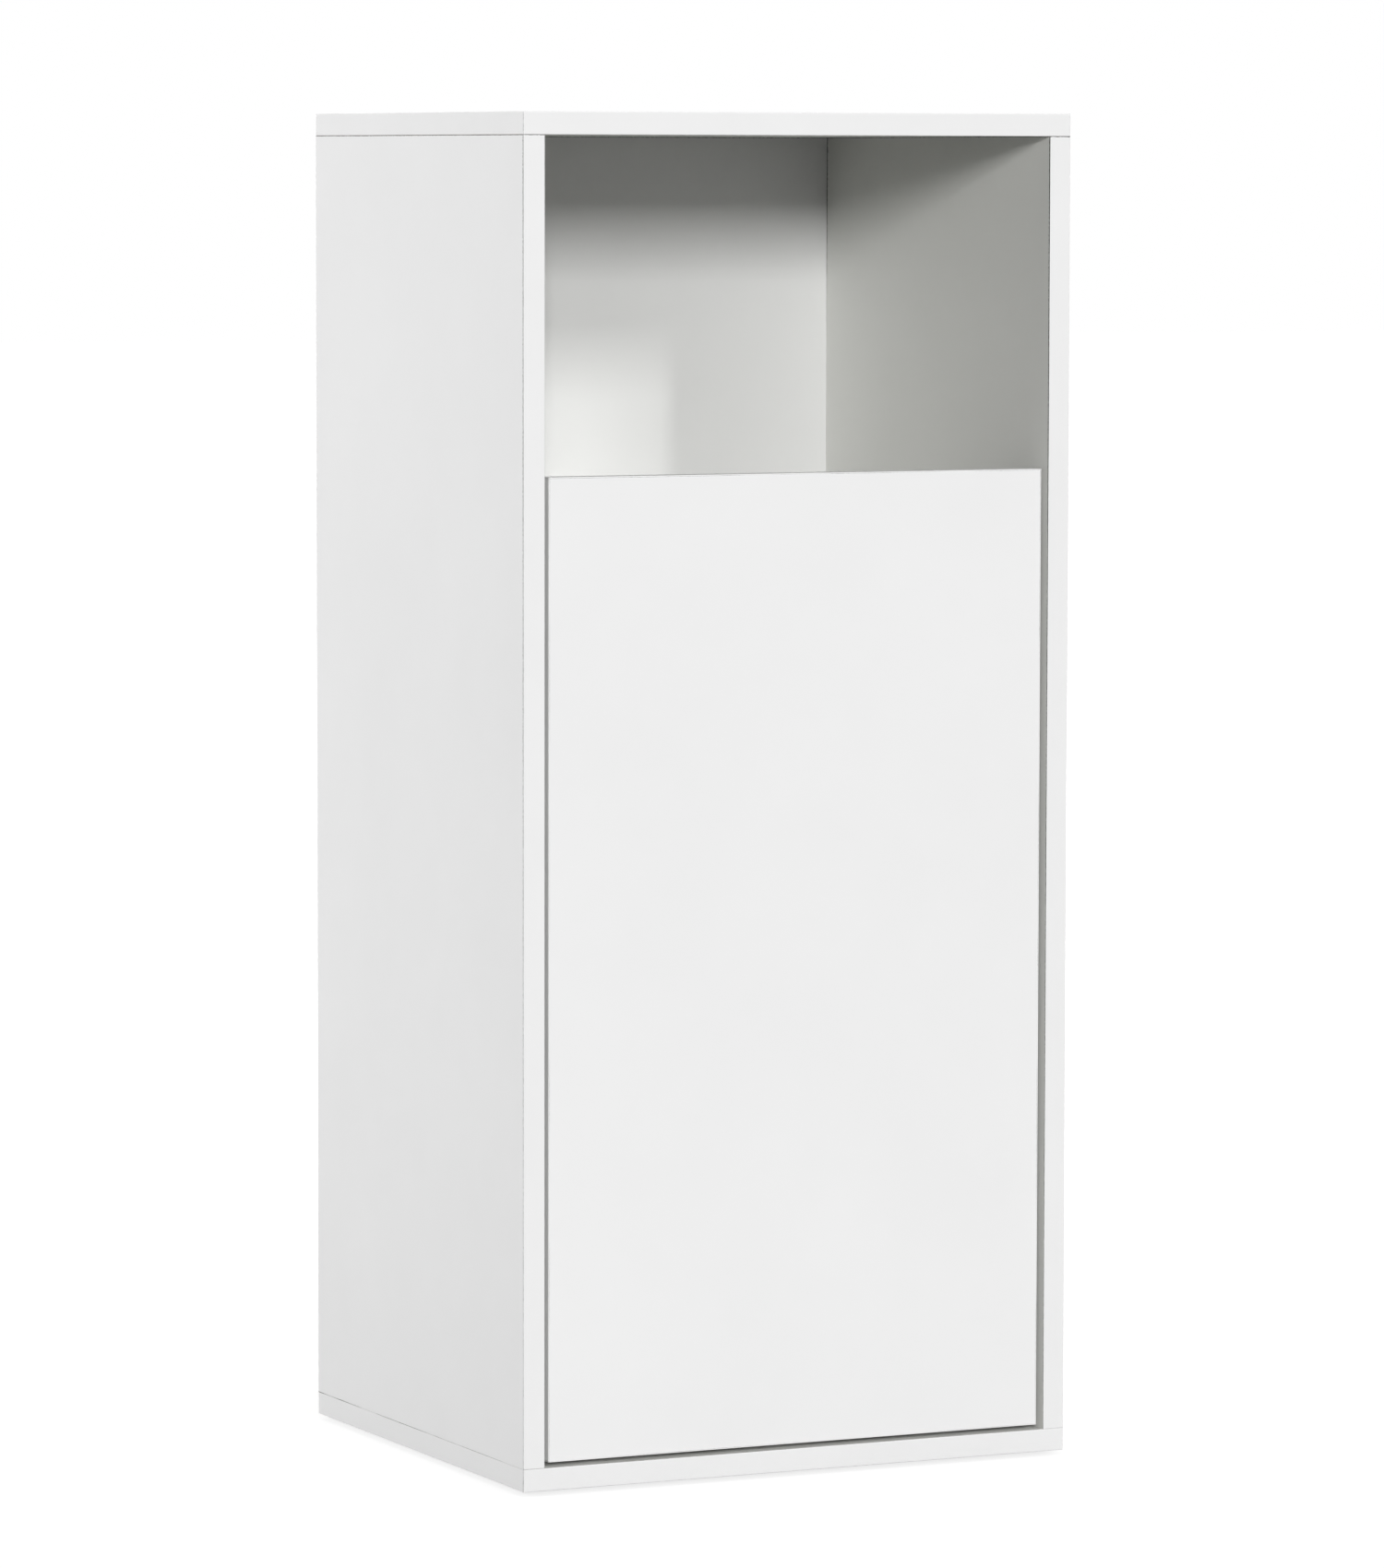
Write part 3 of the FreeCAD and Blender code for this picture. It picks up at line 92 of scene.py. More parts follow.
def shaded(tree, colour, value):
    """Colour made darker or paler by a value about 1."""
    return put(tree, "HueSaturation", {"Color": colour, "Value": value}).outputs["Color"]


def noise(tree, place, scale, detail, roughness=0.5):
    """Cloudy values about one half, with scale features per metre."""
    feeds = {"Vector": place, "Scale": scale, "Detail": detail, "Roughness": roughness}
    return put(tree, "TexNoise", feeds).outputs["Fac"]


def shader_group(name, inputs, outputs):
    """New node group with named sockets: its tree, what it is given and what it puts out."""
    tree = bpy.data.node_groups.new(name, "ShaderNodeTree")
    for way, sockets in (("INPUT", inputs), ("OUTPUT", outputs)):
        for label, kind in sockets.items():
            tree.interface.new_socket(label, in_out=way, socket_type="NodeSocket" + kind)
    return tree, tree.nodes.new("NodeGroupInput").outputs, tree.nodes.new("NodeGroupOutput").inputs


def place_group(tree, group, feeds):
    """One use of a node group, with its own values."""
    return put(tree, "Group", feeds, node_tree=group).outputs


FACE_WHITE = (0.79, 0.79, 0.79, 1.0)
# Painted shade: the inner faces get a greyer, slightly greenish white in place of the dim, tinted light
# inside the cabinet.
INSIDE_SHADE_WHITE = (0.745, 0.749, 0.717, 1.0)
FILM_CLOUDS = 9.0
FILM_SHADES = (0.99, 1.01)
FILM_SHEEN = 42.0
FILM_ROUGHNESS = (0.40, 0.48)
FILM_PEARL = 1500.0
SKIN_SOCKETS = {"Colour": "Color", "Roughness": "Float", "Height": "Float"}


def make_melamine():
    """Pressed film: even white with a faint cloudiness and the pearl texture of the press plate."""
    tree, given, result = shader_group("melamine_film", {"Place": "Vector", "White": "Color"}, SKIN_SOCKETS)
    cloud = noise(tree, given["Place"], FILM_CLOUDS, detail=3.0)
    sheen = noise(tree, given["Place"], FILM_SHEEN, detail=4.0)
    white = shaded(tree, given["White"], ranged(tree, cloud, NOISE_SPREAD, FILM_SHADES))
    feed(tree, result["Colour"], white)
    feed(tree, result["Roughness"], ranged(tree, sheen, NOISE_SPREAD, FILM_ROUGHNESS))
    feed(tree, result["Height"], noise(tree, given["Place"], FILM_PEARL, detail=1.0))
    return tree


TEAR_SCALE = 800.0
TEAR_REACH = (0.0014, 0.0014, 0.0014)
FINE_FLAKES = 1500.0
COARSE_FLAKES = 420.0
CORE_DEPTH = (0.0016, 0.0034)
CHIP_BROWNS = (
    (0.0, (0.25, 0.165, 0.09, 1.0)),
    (0.35, (0.41, 0.295, 0.175, 1.0)),
    (1.0, (0.59, 0.455, 0.30, 1.0)),
)
DUST_SCALE = 1800.0
DUST_TAN = (0.54, 0.42, 0.28, 1.0)
DUST_SPREAD = (0.35, 0.75)
DUST_COVER = (0.0, 0.6)
CHIP_ROUGHNESS = (0.75, 0.95)


def make_chips():
    """Sawn particleboard: flakes in tans and browns, coarse in the core and fine towards the faces."""
    tree, given, result = shader_group("sawn_chips", {"Place": "Vector", "Depth": "Float"}, SKIN_SOCKETS)
    ragged = put(tree, "TexNoise", {"Vector": given["Place"], "Scale": TEAR_SCALE, "Detail": 2.0})
    moves = {0: ragged.outputs["Color"], 1: TEAR_REACH, 2: given["Place"]}
    torn = put(tree, "VectorMath", moves, operation="MULTIPLY_ADD").outputs["Vector"]
    tones = []
    for scale in (FINE_FLAKES, COARSE_FLAKES):
        flakes = put(tree, "TexVoronoi", {"Vector": torn, "Scale": scale}).outputs["Color"]
        tones.append(put(tree, "SeparateColor", {"Color": flakes}).outputs["Red"])
    tone = between(tree, ranged(tree, given["Depth"], CORE_DEPTH, SHARE), *tones)
    browns = put(tree, "ValToRGB", {"Fac": tone})
    stops = browns.color_ramp.elements
    stops.new(CHIP_BROWNS[1][0])
    for stop, (spot, colour) in zip(stops, CHIP_BROWNS):
        stop.position = spot
        stop.color = colour
    dust = noise(tree, given["Place"], DUST_SCALE, detail=4.0)
    dusty = ranged(tree, dust, DUST_SPREAD, DUST_COVER)
    feed(tree, result["Colour"], blended(tree, dusty, browns.outputs["Color"], DUST_TAN))
    feed(tree, result["Roughness"], ranged(tree, dust, NOISE_SPREAD, CHIP_ROUGHNESS))
    feed(tree, result["Height"], calculated(tree, "MULTIPLY", tone, dust))
    return tree


FACE_DEPTH = 0.00005


def make_outer_faces():
    """Depth under a board's nearer face, and 1 on the two faces but 0 in the thickness between them."""
    ends = {"Across": "Float", "Low": "Float", "High": "Float"}
    tree, given, result = shader_group("outer_faces", ends, {"Face": "Float", "Depth": "Float"})
    above = calculated(tree, "SUBTRACT", given["Across"], given["Low"])
    below = calculated(tree, "SUBTRACT", given["High"], given["Across"])
    depth = calculated(tree, "MINIMUM", above, below)
    feed(tree, result["Face"], calculated(tree, "LESS_THAN", depth, FACE_DEPTH))
    feed(tree, result["Depth"], depth)
    return tree


# Dark colour of the joint hairlines, and of the painted shade line in the side walls' back corners.
JOINT_AND_SHADE_COLOUR = (0.03, 0.027, 0.024, 1.0)
JOINT_CHIPPING = 600.0
CHIPPED_WIDTH = (0.6, 1.4)
JOINT_STRETCHES = 16.0
LOST_SPREAD = (0.42, 0.58)


def make_joint_and_shade_line():
    """Dark hairline along a joint, and also painted shade along a corner, uneven in width, with some of its
    stretches broken away.
    """
    wanted = {"Place": "Vector", "Distance": "Float", "Width": "Float", "Broken": "Float"}
    tree, given, result = shader_group("joint_and_shade_line", wanted, {"Line": "Float"})
    stretch = noise(tree, given["Place"], JOINT_STRETCHES, detail=3.0)
    chipping = noise(tree, given["Place"], JOINT_CHIPPING, detail=3.0)
    chipped = ranged(tree, chipping, NOISE_SPREAD, CHIPPED_WIDTH)
    uneven = calculated(tree, "MULTIPLY", given["Width"], chipped)
    near = calculated(tree, "LESS_THAN", given["Distance"], uneven)
    lost = calculated(tree, "MULTIPLY", given["Broken"], ranged(tree, stretch, LOST_SPREAD, SHARE))
    left_over = calculated(tree, "SUBTRACT", 1.0, lost)
    feed(tree, result["Line"], calculated(tree, "MULTIPLY", near, left_over))
    return tree


melamine_film = make_melamine()
sawn_chips = make_chips()
outer_faces = make_outer_faces()
joint_and_shade_line = make_joint_and_shade_line()


def new_finish(name):
    """Empty material with its node tree and its object coordinates."""
    material = bpy.data.materials.new(name)
    material.use_nodes = True
    tree = material.node_tree
    return material, tree, put(tree, "TexCoord").outputs["Object"]


def parts_of(tree, vector):
    """The three parts of a vector, in the order of the axes."""
    return tuple(put(tree, "SeparateXYZ", {"Vector": vector}).outputs)


def surface(tree, colour, roughness, height, depth, metallic=0.0):
    """Colour, roughness, fine relief and metal of a finish, set on its shader."""
    shader = tree.nodes["Principled BSDF"].inputs
    shader["Metallic"].default_value = metallic
    feed(tree, shader["Base Color"], colour)
    feed(tree, shader["Roughness"], roughness)
    relief = put(tree, "Bump", {"Height": height, "Distance": depth, "Strength": 1.0})
    feed(tree, shader["Normal"], relief.outputs["Normal"])


def wear_finish(material, *names):
    """Give CAD nodes their finish."""
    for name in names:
        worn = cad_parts[name].data.materials
        worn.clear()
        worn.append(material)


def span(box, axis):
    """The two ends of a box along an axis."""
    return box[LOW][axis], box[HIGH][axis]


def joint(box, run, spots, widths, broken, ends=None):
    """One joint line along an axis of a box, or along a stretch of that axis.

    spots are its places on one or two other axes, widths are its widths at the two ends, and broken is how
    much of it is broken away.
    """
    return spots, run, ends or span(box, run), widths, broken


def joint_drawn(tree, white, place, parts, line):
    """White with one dark line drawn on it, mostly a joint's hairline; in the side walls' back corners the
    line is painted shade.
    """
    spots, run, ends, widths, broken = line
    distance = 0.0
    for axis, spot in spots.items():
        apart = calculated(tree, "ABSOLUTE", calculated(tree, "SUBTRACT", parts[axis], spot))
        distance = calculated(tree, "MAXIMUM", apart, distance)
    width = ranged(tree, parts[run], ends, widths)
    feeds = {"Place": place, "Distance": distance, "Width": width, "Broken": broken}
    return blended(tree, place_group(tree, joint_and_shade_line, feeds)["Line"], white, JOINT_AND_SHADE_COLOUR)


CHIP_PRESSING = 2.2
BOARD_RELIEF = 0.0004
FILM_RELIEF = 0.06


def board_finish(name, across, whites, joints):
    """White-faced board with the joints that show on its faces.

    across is its thickness axis, and whites are the film's colours on the low and on the high face; a
    greyer inner white there is painted shade.
    """
    low, high = span(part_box(name), across)
    material, tree, place = new_finish(name + "_white_board")
    parts = parts_of(tree, place)
    upper_half = calculated(tree, "GREATER_THAN", parts[across], (low + high) / 2.0)
    film = place_group(tree, melamine_film, {"Place": place, "White": blended(tree, upper_half, *whites)})
    layers = place_group(tree, outer_faces, {"Across": parts[across], "Low": low, "High": high})
    face = layers["Face"]
    pressing = [1.0, 1.0, 1.0]
    pressing[across] = CHIP_PRESSING
    pressed = put(tree, "Mapping", {"Vector": place, "Scale": pressing}).outputs["Vector"]
    chips = place_group(tree, sawn_chips, {"Place": pressed, "Depth": layers["Depth"]})
    white = film["Colour"]
    for line in joints:
        white = joint_drawn(tree, white, place, parts, line)
    colour = blended(tree, face, chips["Colour"], white)
    roughness = between(tree, face, chips["Roughness"], film["Roughness"])
    pearl = calculated(tree, "MULTIPLY", film["Height"], FILM_RELIEF)
    surface(tree, colour, roughness, between(tree, face, chips["Height"], pearl), BOARD_RELIEF)
    wear_finish(material, name)


WHOLE, WORN, FAINT = 0.15, 0.5, 0.8
GLUE_LINE = (0.00018, 0.00018)
SIDE_GLUE_LINE = (0.0002, 0.0009)
SAWN_RIM = (0.0004, 0.0004)
FOOT_RIM = (0.0001, 0.0005)
# Painted shade: a dark line in each side wall's back corner, absent lower down and widest under the top
# panel.
CORNER_SHADE_WIDTHS = (0.0, 0.0014)
CORNER_SHADE_LENGTH = 0.15
# Inner faces take the greyer white, which is painted shade; outer faces take the plain white.
FILMS = {LOW: (INSIDE_SHADE_WHITE, FACE_WHITE), HIGH: (FACE_WHITE, INSIDE_SHADE_WHITE)}
groove_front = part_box("back_panel")[LOW].y
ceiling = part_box("top_panel")[LOW].z
corner_shade_rise = (ceiling - CORNER_SHADE_LENGTH, ceiling)

for board, inner_side in (("top_panel", LOW), ("bottom_panel", HIGH)):
    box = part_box(board)
    board_finish(board, Z_AXIS, FILMS[inner_side], (
        joint(box, X_AXIS, {Y_AXIS: box[LOW].y}, GLUE_LINE, WORN),
        joint(box, Y_AXIS, {X_AXIS: box[LOW].x}, GLUE_LINE, WORN),
        joint(box, Y_AXIS, {X_AXIS: box[HIGH].x}, GLUE_LINE, WORN),
        joint(box, X_AXIS, {Y_AXIS: groove_front, Z_AXIS: box[inner_side].z}, SAWN_RIM, WHOLE),
    ))
for board, inner_side in (("left_side_panel", HIGH), ("right_side_panel", LOW)):
    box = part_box(board)
    groove_corner = {Y_AXIS: groove_front, X_AXIS: box[inner_side].x}
    board_finish(board, X_AXIS, FILMS[inner_side], (
        joint(box, Z_AXIS, {Y_AXIS: box[LOW].y}, SIDE_GLUE_LINE, WHOLE),
        joint(box, Y_AXIS, {Z_AXIS: box[HIGH].z}, SAWN_RIM, WHOLE),
        joint(box, Y_AXIS, {Z_AXIS: box[LOW].z}, FOOT_RIM, FAINT),
        # Painted shade along the back corner, widening towards the top panel.
        joint(box, Z_AXIS, groove_corner, CORNER_SHADE_WIDTHS, WHOLE, corner_shade_rise),
    ))


# Shelves: one fixed between the sides with dowels, one loose on pins, both of the same white board.
# They take the greyer inner white on both faces, which is painted shade.
# Only their front edges are banded, so the loose shelf's ends and rear edge show chips.
for board in ("fixed_shelf", "adjustable_shelf"):
    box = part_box(board)
    glue_line = joint(box, X_AXIS, {Y_AXIS: box[LOW].y}, GLUE_LINE, WORN)
    # Both faces take the inner white, which is painted shade.
    board_finish(board, Z_AXIS, (INSIDE_SHADE_WHITE, INSIDE_SHADE_WHITE), (glue_line,))


# Door: the same board, hung inset between the sides, banded all round and drilled behind for its hinges.
# Its face is one flat sheet with no handle, and both its faces have the outside white.
DOOR_GLUE_LINE = (0.00006, 0.00006)


def door_joints(box, inset):
    """Joints of the door's four edge bands, at an inset from the edges of a box."""
    joints = []
    for axis, run in ((X_AXIS, Z_AXIS), (Z_AXIS, X_AXIS)):
        for spot in (box[LOW][axis] + inset, box[HIGH][axis] - inset):
            joints.append(joint(box, run, {axis: spot}, DOOR_GLUE_LINE, FAINT))
    return joints


board_finish("door_panel", Y_AXIS, (FACE_WHITE, FACE_WHITE), door_joints(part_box("door_panel"), 0.0))


# Edge bands: thin white plastic strips, glued on the boards' edges and scraped round at the corners.
# Scraping leaves fine lines along the strip, and the glue shows as a hairline at the board.
BAND_WHITE = (0.79, 0.79, 0.79, 1.0)
BAND_THICKNESS = 0.0008
BAND_CLOUDS = 20.0
BAND_SHADES = (0.99, 1.008)
BAND_ROUGHNESS = (0.34, 0.44)
SCRAPING_ALONG = 30.0
SCRAPING_ACROSS = 2600.0
SCRAPING_DEPTH = 0.000012
FACING = 0.5
CORNER_LINE = (0.0003, 0.0003)


def drawn_out(tree, place, run, along, across, detail):
    """Noise drawn out into lines along one axis, with its features per metre along and across them."""
    scale = [across, across, across]
    scale[run] = along
    lines = put(tree, "Mapping", {"Vector": place, "Scale": scale}).outputs["Vector"]
    return noise(tree, lines, scale=1.0, detail=detail)


def band_finish(name, joints, runs):
    """Edge band with its joints. runs gives a strip's run for each axis that a strip faces along."""
    material, tree, place = new_finish(name + "_white_band")
    parts = parts_of(tree, place)
    streaks = None
    for facing, run in runs.items():
        scraping = drawn_out(tree, place, run, SCRAPING_ALONG, SCRAPING_ACROSS, detail=2.0)
        if streaks is None:
            streaks = scraping
        else:
            normal = parts_of(tree, put(tree, "TexCoord").outputs["Normal"])
            turned = calculated(tree, "GREATER_THAN", calculated(tree, "ABSOLUTE", normal[facing]), FACING)
            streaks = between(tree, turned, streaks, scraping)
    cloud = noise(tree, place, BAND_CLOUDS, detail=3.0)
    white = shaded(tree, BAND_WHITE, ranged(tree, cloud, NOISE_SPREAD, BAND_SHADES))
    for line in joints:
        white = joint_drawn(tree, white, place, parts, line)
    surface(tree, white, ranged(tree, streaks, NOISE_SPREAD, BAND_ROUGHNESS), streaks, SCRAPING_DEPTH)
    wear_finish(material, name)


for board in ("top_panel", "bottom_panel"):
    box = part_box(board + "_edge_bands")
    front_joint = box[LOW].y + BAND_THICKNESS
    upper_face = box[HIGH].z
    joints = [joint(box, X_AXIS, {Y_AXIS: front_joint, Z_AXIS: upper_face}, GLUE_LINE, WORN)]
    for end, inward in ((box[LOW].x, BAND_THICKNESS), (box[HIGH].x, -BAND_THICKNESS)):
        joints.append(joint(box, Z_AXIS, {Y_AXIS: front_joint, X_AXIS: end}, CORNER_LINE, WHOLE))
        joints.append(joint(box, Y_AXIS, {X_AXIS: end + inward, Z_AXIS: upper_face}, GLUE_LINE, WORN))
    band_finish(board + "_edge_bands", joints, {Y_AXIS: X_AXIS, X_AXIS: Y_AXIS})
for side in ("left_side", "right_side"):
    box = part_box(side + "_edge_band")
    band_finish(side + "_edge_band", (
        joint(box, Z_AXIS, {Y_AXIS: box[LOW].y + BAND_THICKNESS}, GLUE_LINE, WHOLE),
        joint(box, X_AXIS, {Z_AXIS: box[HIGH].z}, SAWN_RIM, WHOLE),
        joint(box, X_AXIS, {Z_AXIS: box[LOW].z}, GLUE_LINE, FAINT),
    ), {Y_AXIS: Z_AXIS})
for board in ("fixed_shelf", "adjustable_shelf"):
    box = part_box(board + "_edge_band")
    glue_line = joint(box, X_AXIS, {Y_AXIS: box[LOW].y + BAND_THICKNESS}, GLUE_LINE, WORN)
    band_finish(board + "_edge_band", (glue_line,), {Y_AXIS: X_AXIS})
band_joints = door_joints(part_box("door_edge_bands"), BAND_THICKNESS)
band_finish("door_edge_bands", band_joints, {Z_AXIS: X_AXIS, X_AXIS: Z_AXIS})


# Back panel: thin hardboard slid into a groove round the carcass and nailed to the fixed shelf.
# Its inner face is lacquered white, and its rear face is bare brown fibre with the mesh of the press.
BACK_WHITE = (0.762, 0.764, 0.753, 1.0)
LACQUER_DULLING = 0.06
LACQUER_RELIEF = 0.08
HARDBOARD_PALE = (0.40, 0.27, 0.155, 1.0)
HARDBOARD_DARK = (0.27, 0.17, 0.09, 1.0)
HARDBOARD_ROUGHNESS = (0.78, 0.92)
FIBRE_SCALE = 700.0
FIBRE_RELIEF = 0.27
BLOTCH_SCALE = 16.0
BLOTCH_SHADES = (0.88, 1.08)
MESH_PITCH = 0.0016
MESH_UNEVENNESS = 0.15
MESH_SPREAD = (0.1, 0.6)
MESH_SHADES = (1.07, 0.85)
BACK_RELIEF = 0.0003


def mottled(tree, pattern, ends, first, second):
    """First colour at the low end of a pattern's spread, second at the high end."""
    return blended(tree, ranged(tree, pattern, ends, SHARE), first, second)


def back_finish(name):
    """White lacquer on the face towards the front, and bare fibre elsewhere."""
    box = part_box(name)
    material, tree, place = new_finish("white_hardboard")
    parts = parts_of(tree, place)
    film = place_group(tree, melamine_film, {"Place": place, "White": BACK_WHITE})
    upper_rim = joint(box, X_AXIS, {Z_AXIS: ceiling}, SAWN_RIM, WHOLE)
    white = joint_drawn(tree, film["Colour"], place, parts, upper_rim)
    fibre = noise(tree, place, FIBRE_SCALE, detail=6.0, roughness=0.7)
    blotch = noise(tree, place, BLOTCH_SCALE, detail=4.0)
    turns = (1.0 / MESH_PITCH, 1.0, 1.0 / MESH_PITCH)
    mesh = put(tree, "Mapping", {"Vector": place, "Scale": turns}).outputs["Vector"]
    cells = {"Vector": mesh, "Scale": 1.0, "Randomness": MESH_UNEVENNESS}
    weave = put(tree, "TexVoronoi", cells).outputs["Distance"]
    pressed = ranged(tree, weave, MESH_SPREAD, MESH_SHADES)
    tone = calculated(tree, "MULTIPLY", ranged(tree, blotch, NOISE_SPREAD, BLOTCH_SHADES), pressed)
    brown = shaded(tree, mottled(tree, fibre, NOISE_SPREAD, HARDBOARD_DARK, HARDBOARD_PALE), tone)
    lacquered = calculated(tree, "LESS_THAN", parts[Y_AXIS], box[LOW].y + FACE_DEPTH)
    matt = ranged(tree, fibre, NOISE_SPREAD, HARDBOARD_ROUGHNESS)
    satin = calculated(tree, "ADD", film["Roughness"], LACQUER_DULLING)
    rough = calculated(tree, "ADD", weave, calculated(tree, "MULTIPLY", fibre, FIBRE_RELIEF))
    smooth = calculated(tree, "MULTIPLY", film["Height"], LACQUER_RELIEF)
    colour = blended(tree, lacquered, brown, white)
    roughness = between(tree, lacquered, matt, satin)
    surface(tree, colour, roughness, between(tree, lacquered, rough, smooth), BACK_RELIEF)
    wear_finish(material, name)


back_finish("back_panel")


# Dowels: turned beech pegs, glued into the boards, straight-grained with short dark rays.
# They hold the top, the bottom and the fixed shelf to the sides.
BEECH_PALE = (0.72, 0.55, 0.36, 1.0)
BEECH_DARK = (0.52, 0.36, 0.20, 1.0)
BEECH_ROUGHNESS = (0.6, 0.75)
RAY_SPREAD = (0.35, 0.7)
GRAIN_ALONG = 120.0
GRAIN_ACROSS = 1400.0
GRAIN_DEPTH = 0.00004


def beech_finish(name, run):
    """Beech with its grain along one axis."""
    material, tree, place = new_finish(name + "_beech")
    grain = drawn_out(tree, place, run, GRAIN_ALONG, GRAIN_ACROSS, detail=4.0)
    wood = mottled(tree, grain, RAY_SPREAD, BEECH_PALE, BEECH_DARK)
    surface(tree, wood, ranged(tree, grain, NOISE_SPREAD, BEECH_ROUGHNESS), grain, GRAIN_DEPTH)
    wear_finish(material, name)


beech_finish("top_panel_dowels", Z_AXIS)
beech_finish("bottom_panel_dowels", Z_AXIS)
beech_finish("fixed_shelf_dowels", X_AXIS)


# Screws, nails, pins and catch plates: zinc-plated steel, bright with a cloudy bluish plating.
# Screws and nails hold the fittings, four pins carry the loose shelf, and two turn in the hinges.
ZINC_PALE = (0.66, 0.67, 0.68, 1.0)
ZINC_WARM = (0.58, 0.57, 0.53, 1.0)
ZINC_ROUGHNESS = (0.28, 0.42)
ZINC_CLOUDS = 260.0
ZINC_SPREAD = (0.35, 0.65)
ZINC_GRIT = 2200.0
ZINC_DEPTH = 0.00002


def zinc_finish(*names):
    """Cloudy bright plating with a fine grit."""
    material, tree, place = new_finish("zinc_plated_steel")
    cloud = noise(tree, place, ZINC_CLOUDS, detail=4.0)
    grit = noise(tree, place, ZINC_GRIT, detail=2.0)
    plating = mottled(tree, cloud, ZINC_SPREAD, ZINC_PALE, ZINC_WARM)
    gloss = ranged(tree, cloud, NOISE_SPREAD, ZINC_ROUGHNESS)
    surface(tree, plating, gloss, grit, ZINC_DEPTH, metallic=1.0)
    wear_finish(material, *names)


zinc_finish(
    "shelf_pins", "lower_hinge_pin", "upper_hinge_pin", "back_panel_nails", "floor_glide_nails",
    "hinge_cup_screws", "hinge_plate_screws", "hinge_adjusting_screws", "catch_screws",
    "catch_strike_screw", "catch_pole_plates", "catch_strike_plate",
)


# Floor glides and catch housing: white plastic, moulded with a fine matt grain from the tool.
# Glides are nailed under the bottom panel, and the housing is screwed under the fixed shelf.
PLASTIC_WHITE = (0.84, 0.84, 0.82, 1.0)
PLASTIC_CLOUDS = 90.0
PLASTIC_SHADES = (0.97, 1.01)
PLASTIC_GRAIN = 1600.0
PLASTIC_GRAIN_SPREAD = (0.0, 0.6)
PLASTIC_ROUGHNESS = (0.42, 0.58)
PLASTIC_DEPTH = 0.00003


def plastic_finish(*names):
    """Moulded white with a fine grain."""
    material, tree, place = new_finish("moulded_white_plastic")
    grain = put(tree, "TexVoronoi", {"Vector": place, "Scale": PLASTIC_GRAIN}).outputs["Distance"]
    cloud = noise(tree, place, PLASTIC_CLOUDS, detail=3.0)
    white = shaded(tree, PLASTIC_WHITE, ranged(tree, cloud, NOISE_SPREAD, PLASTIC_SHADES))
    surface(tree, white, ranged(tree, grain, PLASTIC_GRAIN_SPREAD, PLASTIC_ROUGHNESS), grain, PLASTIC_DEPTH)
    wear_finish(material, *names)


plastic_finish("floor_glides", "catch_housing")


# Hinges: pressed and cast cups, arms and mounting plates, nickel-plated over fine brushing.
# Cups are screwed into the door, and arms and plates are fixed to the right side panel.
NICKEL_PALE = (0.69, 0.68, 0.65, 1.0)
NICKEL_DARK = (0.57, 0.56, 0.53, 1.0)
NICKEL_ROUGHNESS = (0.22, 0.38)
NICKEL_CLOUDS = 120.0
BRUSHING_ALONG = 60.0
BRUSHING_ACROSS = 2400.0
BRUSHING_DEPTH = 0.00001


def nickel_finish(*names):
    """Brushed metal under a faintly cloudy plating."""
    material, tree, place = new_finish("nickel_plated_metal")
    brushing = drawn_out(tree, place, Z_AXIS, BRUSHING_ALONG, BRUSHING_ACROSS, detail=3.0)
    cloud = noise(tree, place, NICKEL_CLOUDS, detail=3.0)
    plating = mottled(tree, cloud, NOISE_SPREAD, NICKEL_PALE, NICKEL_DARK)
    gloss = ranged(tree, brushing, NOISE_SPREAD, NICKEL_ROUGHNESS)
    surface(tree, plating, gloss, brushing, BRUSHING_DEPTH, metallic=1.0)
    wear_finish(material, *names)


nickel_finish(
    "lower_hinge_cup", "upper_hinge_cup", "lower_hinge_arm", "upper_hinge_arm",
    "lower_hinge_plate", "upper_hinge_plate",
)


# Catch magnet: a block of pressed and sintered ferrite, dark grey and grainy.
# It is held in the catch housing between two steel pole plates.
MAGNET_DARK = (0.045, 0.045, 0.05, 1.0)
MAGNET_PALE = (0.12, 0.12, 0.125, 1.0)
MAGNET_ROUGHNESS = (0.55, 0.8)
MAGNET_GRAIN = 1500.0
MAGNET_SPREAD = (0.35, 0.7)
MAGNET_DEPTH = 0.00005


def magnet_finish(name):
    """Grainy dark ceramic."""
    material, tree, place = new_finish("sintered_ferrite")
    grain = noise(tree, place, MAGNET_GRAIN, detail=5.0)
    grey = mottled(tree, grain, MAGNET_SPREAD, MAGNET_DARK, MAGNET_PALE)
    surface(tree, grey, ranged(tree, grain, NOISE_SPREAD, MAGNET_ROUGHNESS), grain, MAGNET_DEPTH)
    wear_finish(material, name)


magnet_finish("catch_magnet")


# Studio floor: a wide plain sheet that looks pale, runs out to white and keeps the cabinet's soft shadow.
# Its glow is seen by the camera and in reflections only, so it adds no light to the cabinet.
FLOOR_SIZE = 60.0
FLOOR_GREY = (0.28, 0.28, 0.28, 1.0)
FLOOR_GLOW = 0.79
WHITE_GLOW = 1.0
SHADOW_REACH = (0.7, 1.9)


def seen_directly(tree):
    """1 for rays from the camera, from reflections and through glass."""
    path = put(tree, "LightPath").outputs
    mirrored = calculated(tree, "MAXIMUM", path["Is Glossy Ray"], path["Is Transmission Ray"])
    return calculated(tree, "MAXIMUM", path["Is Camera Ray"], mirrored)


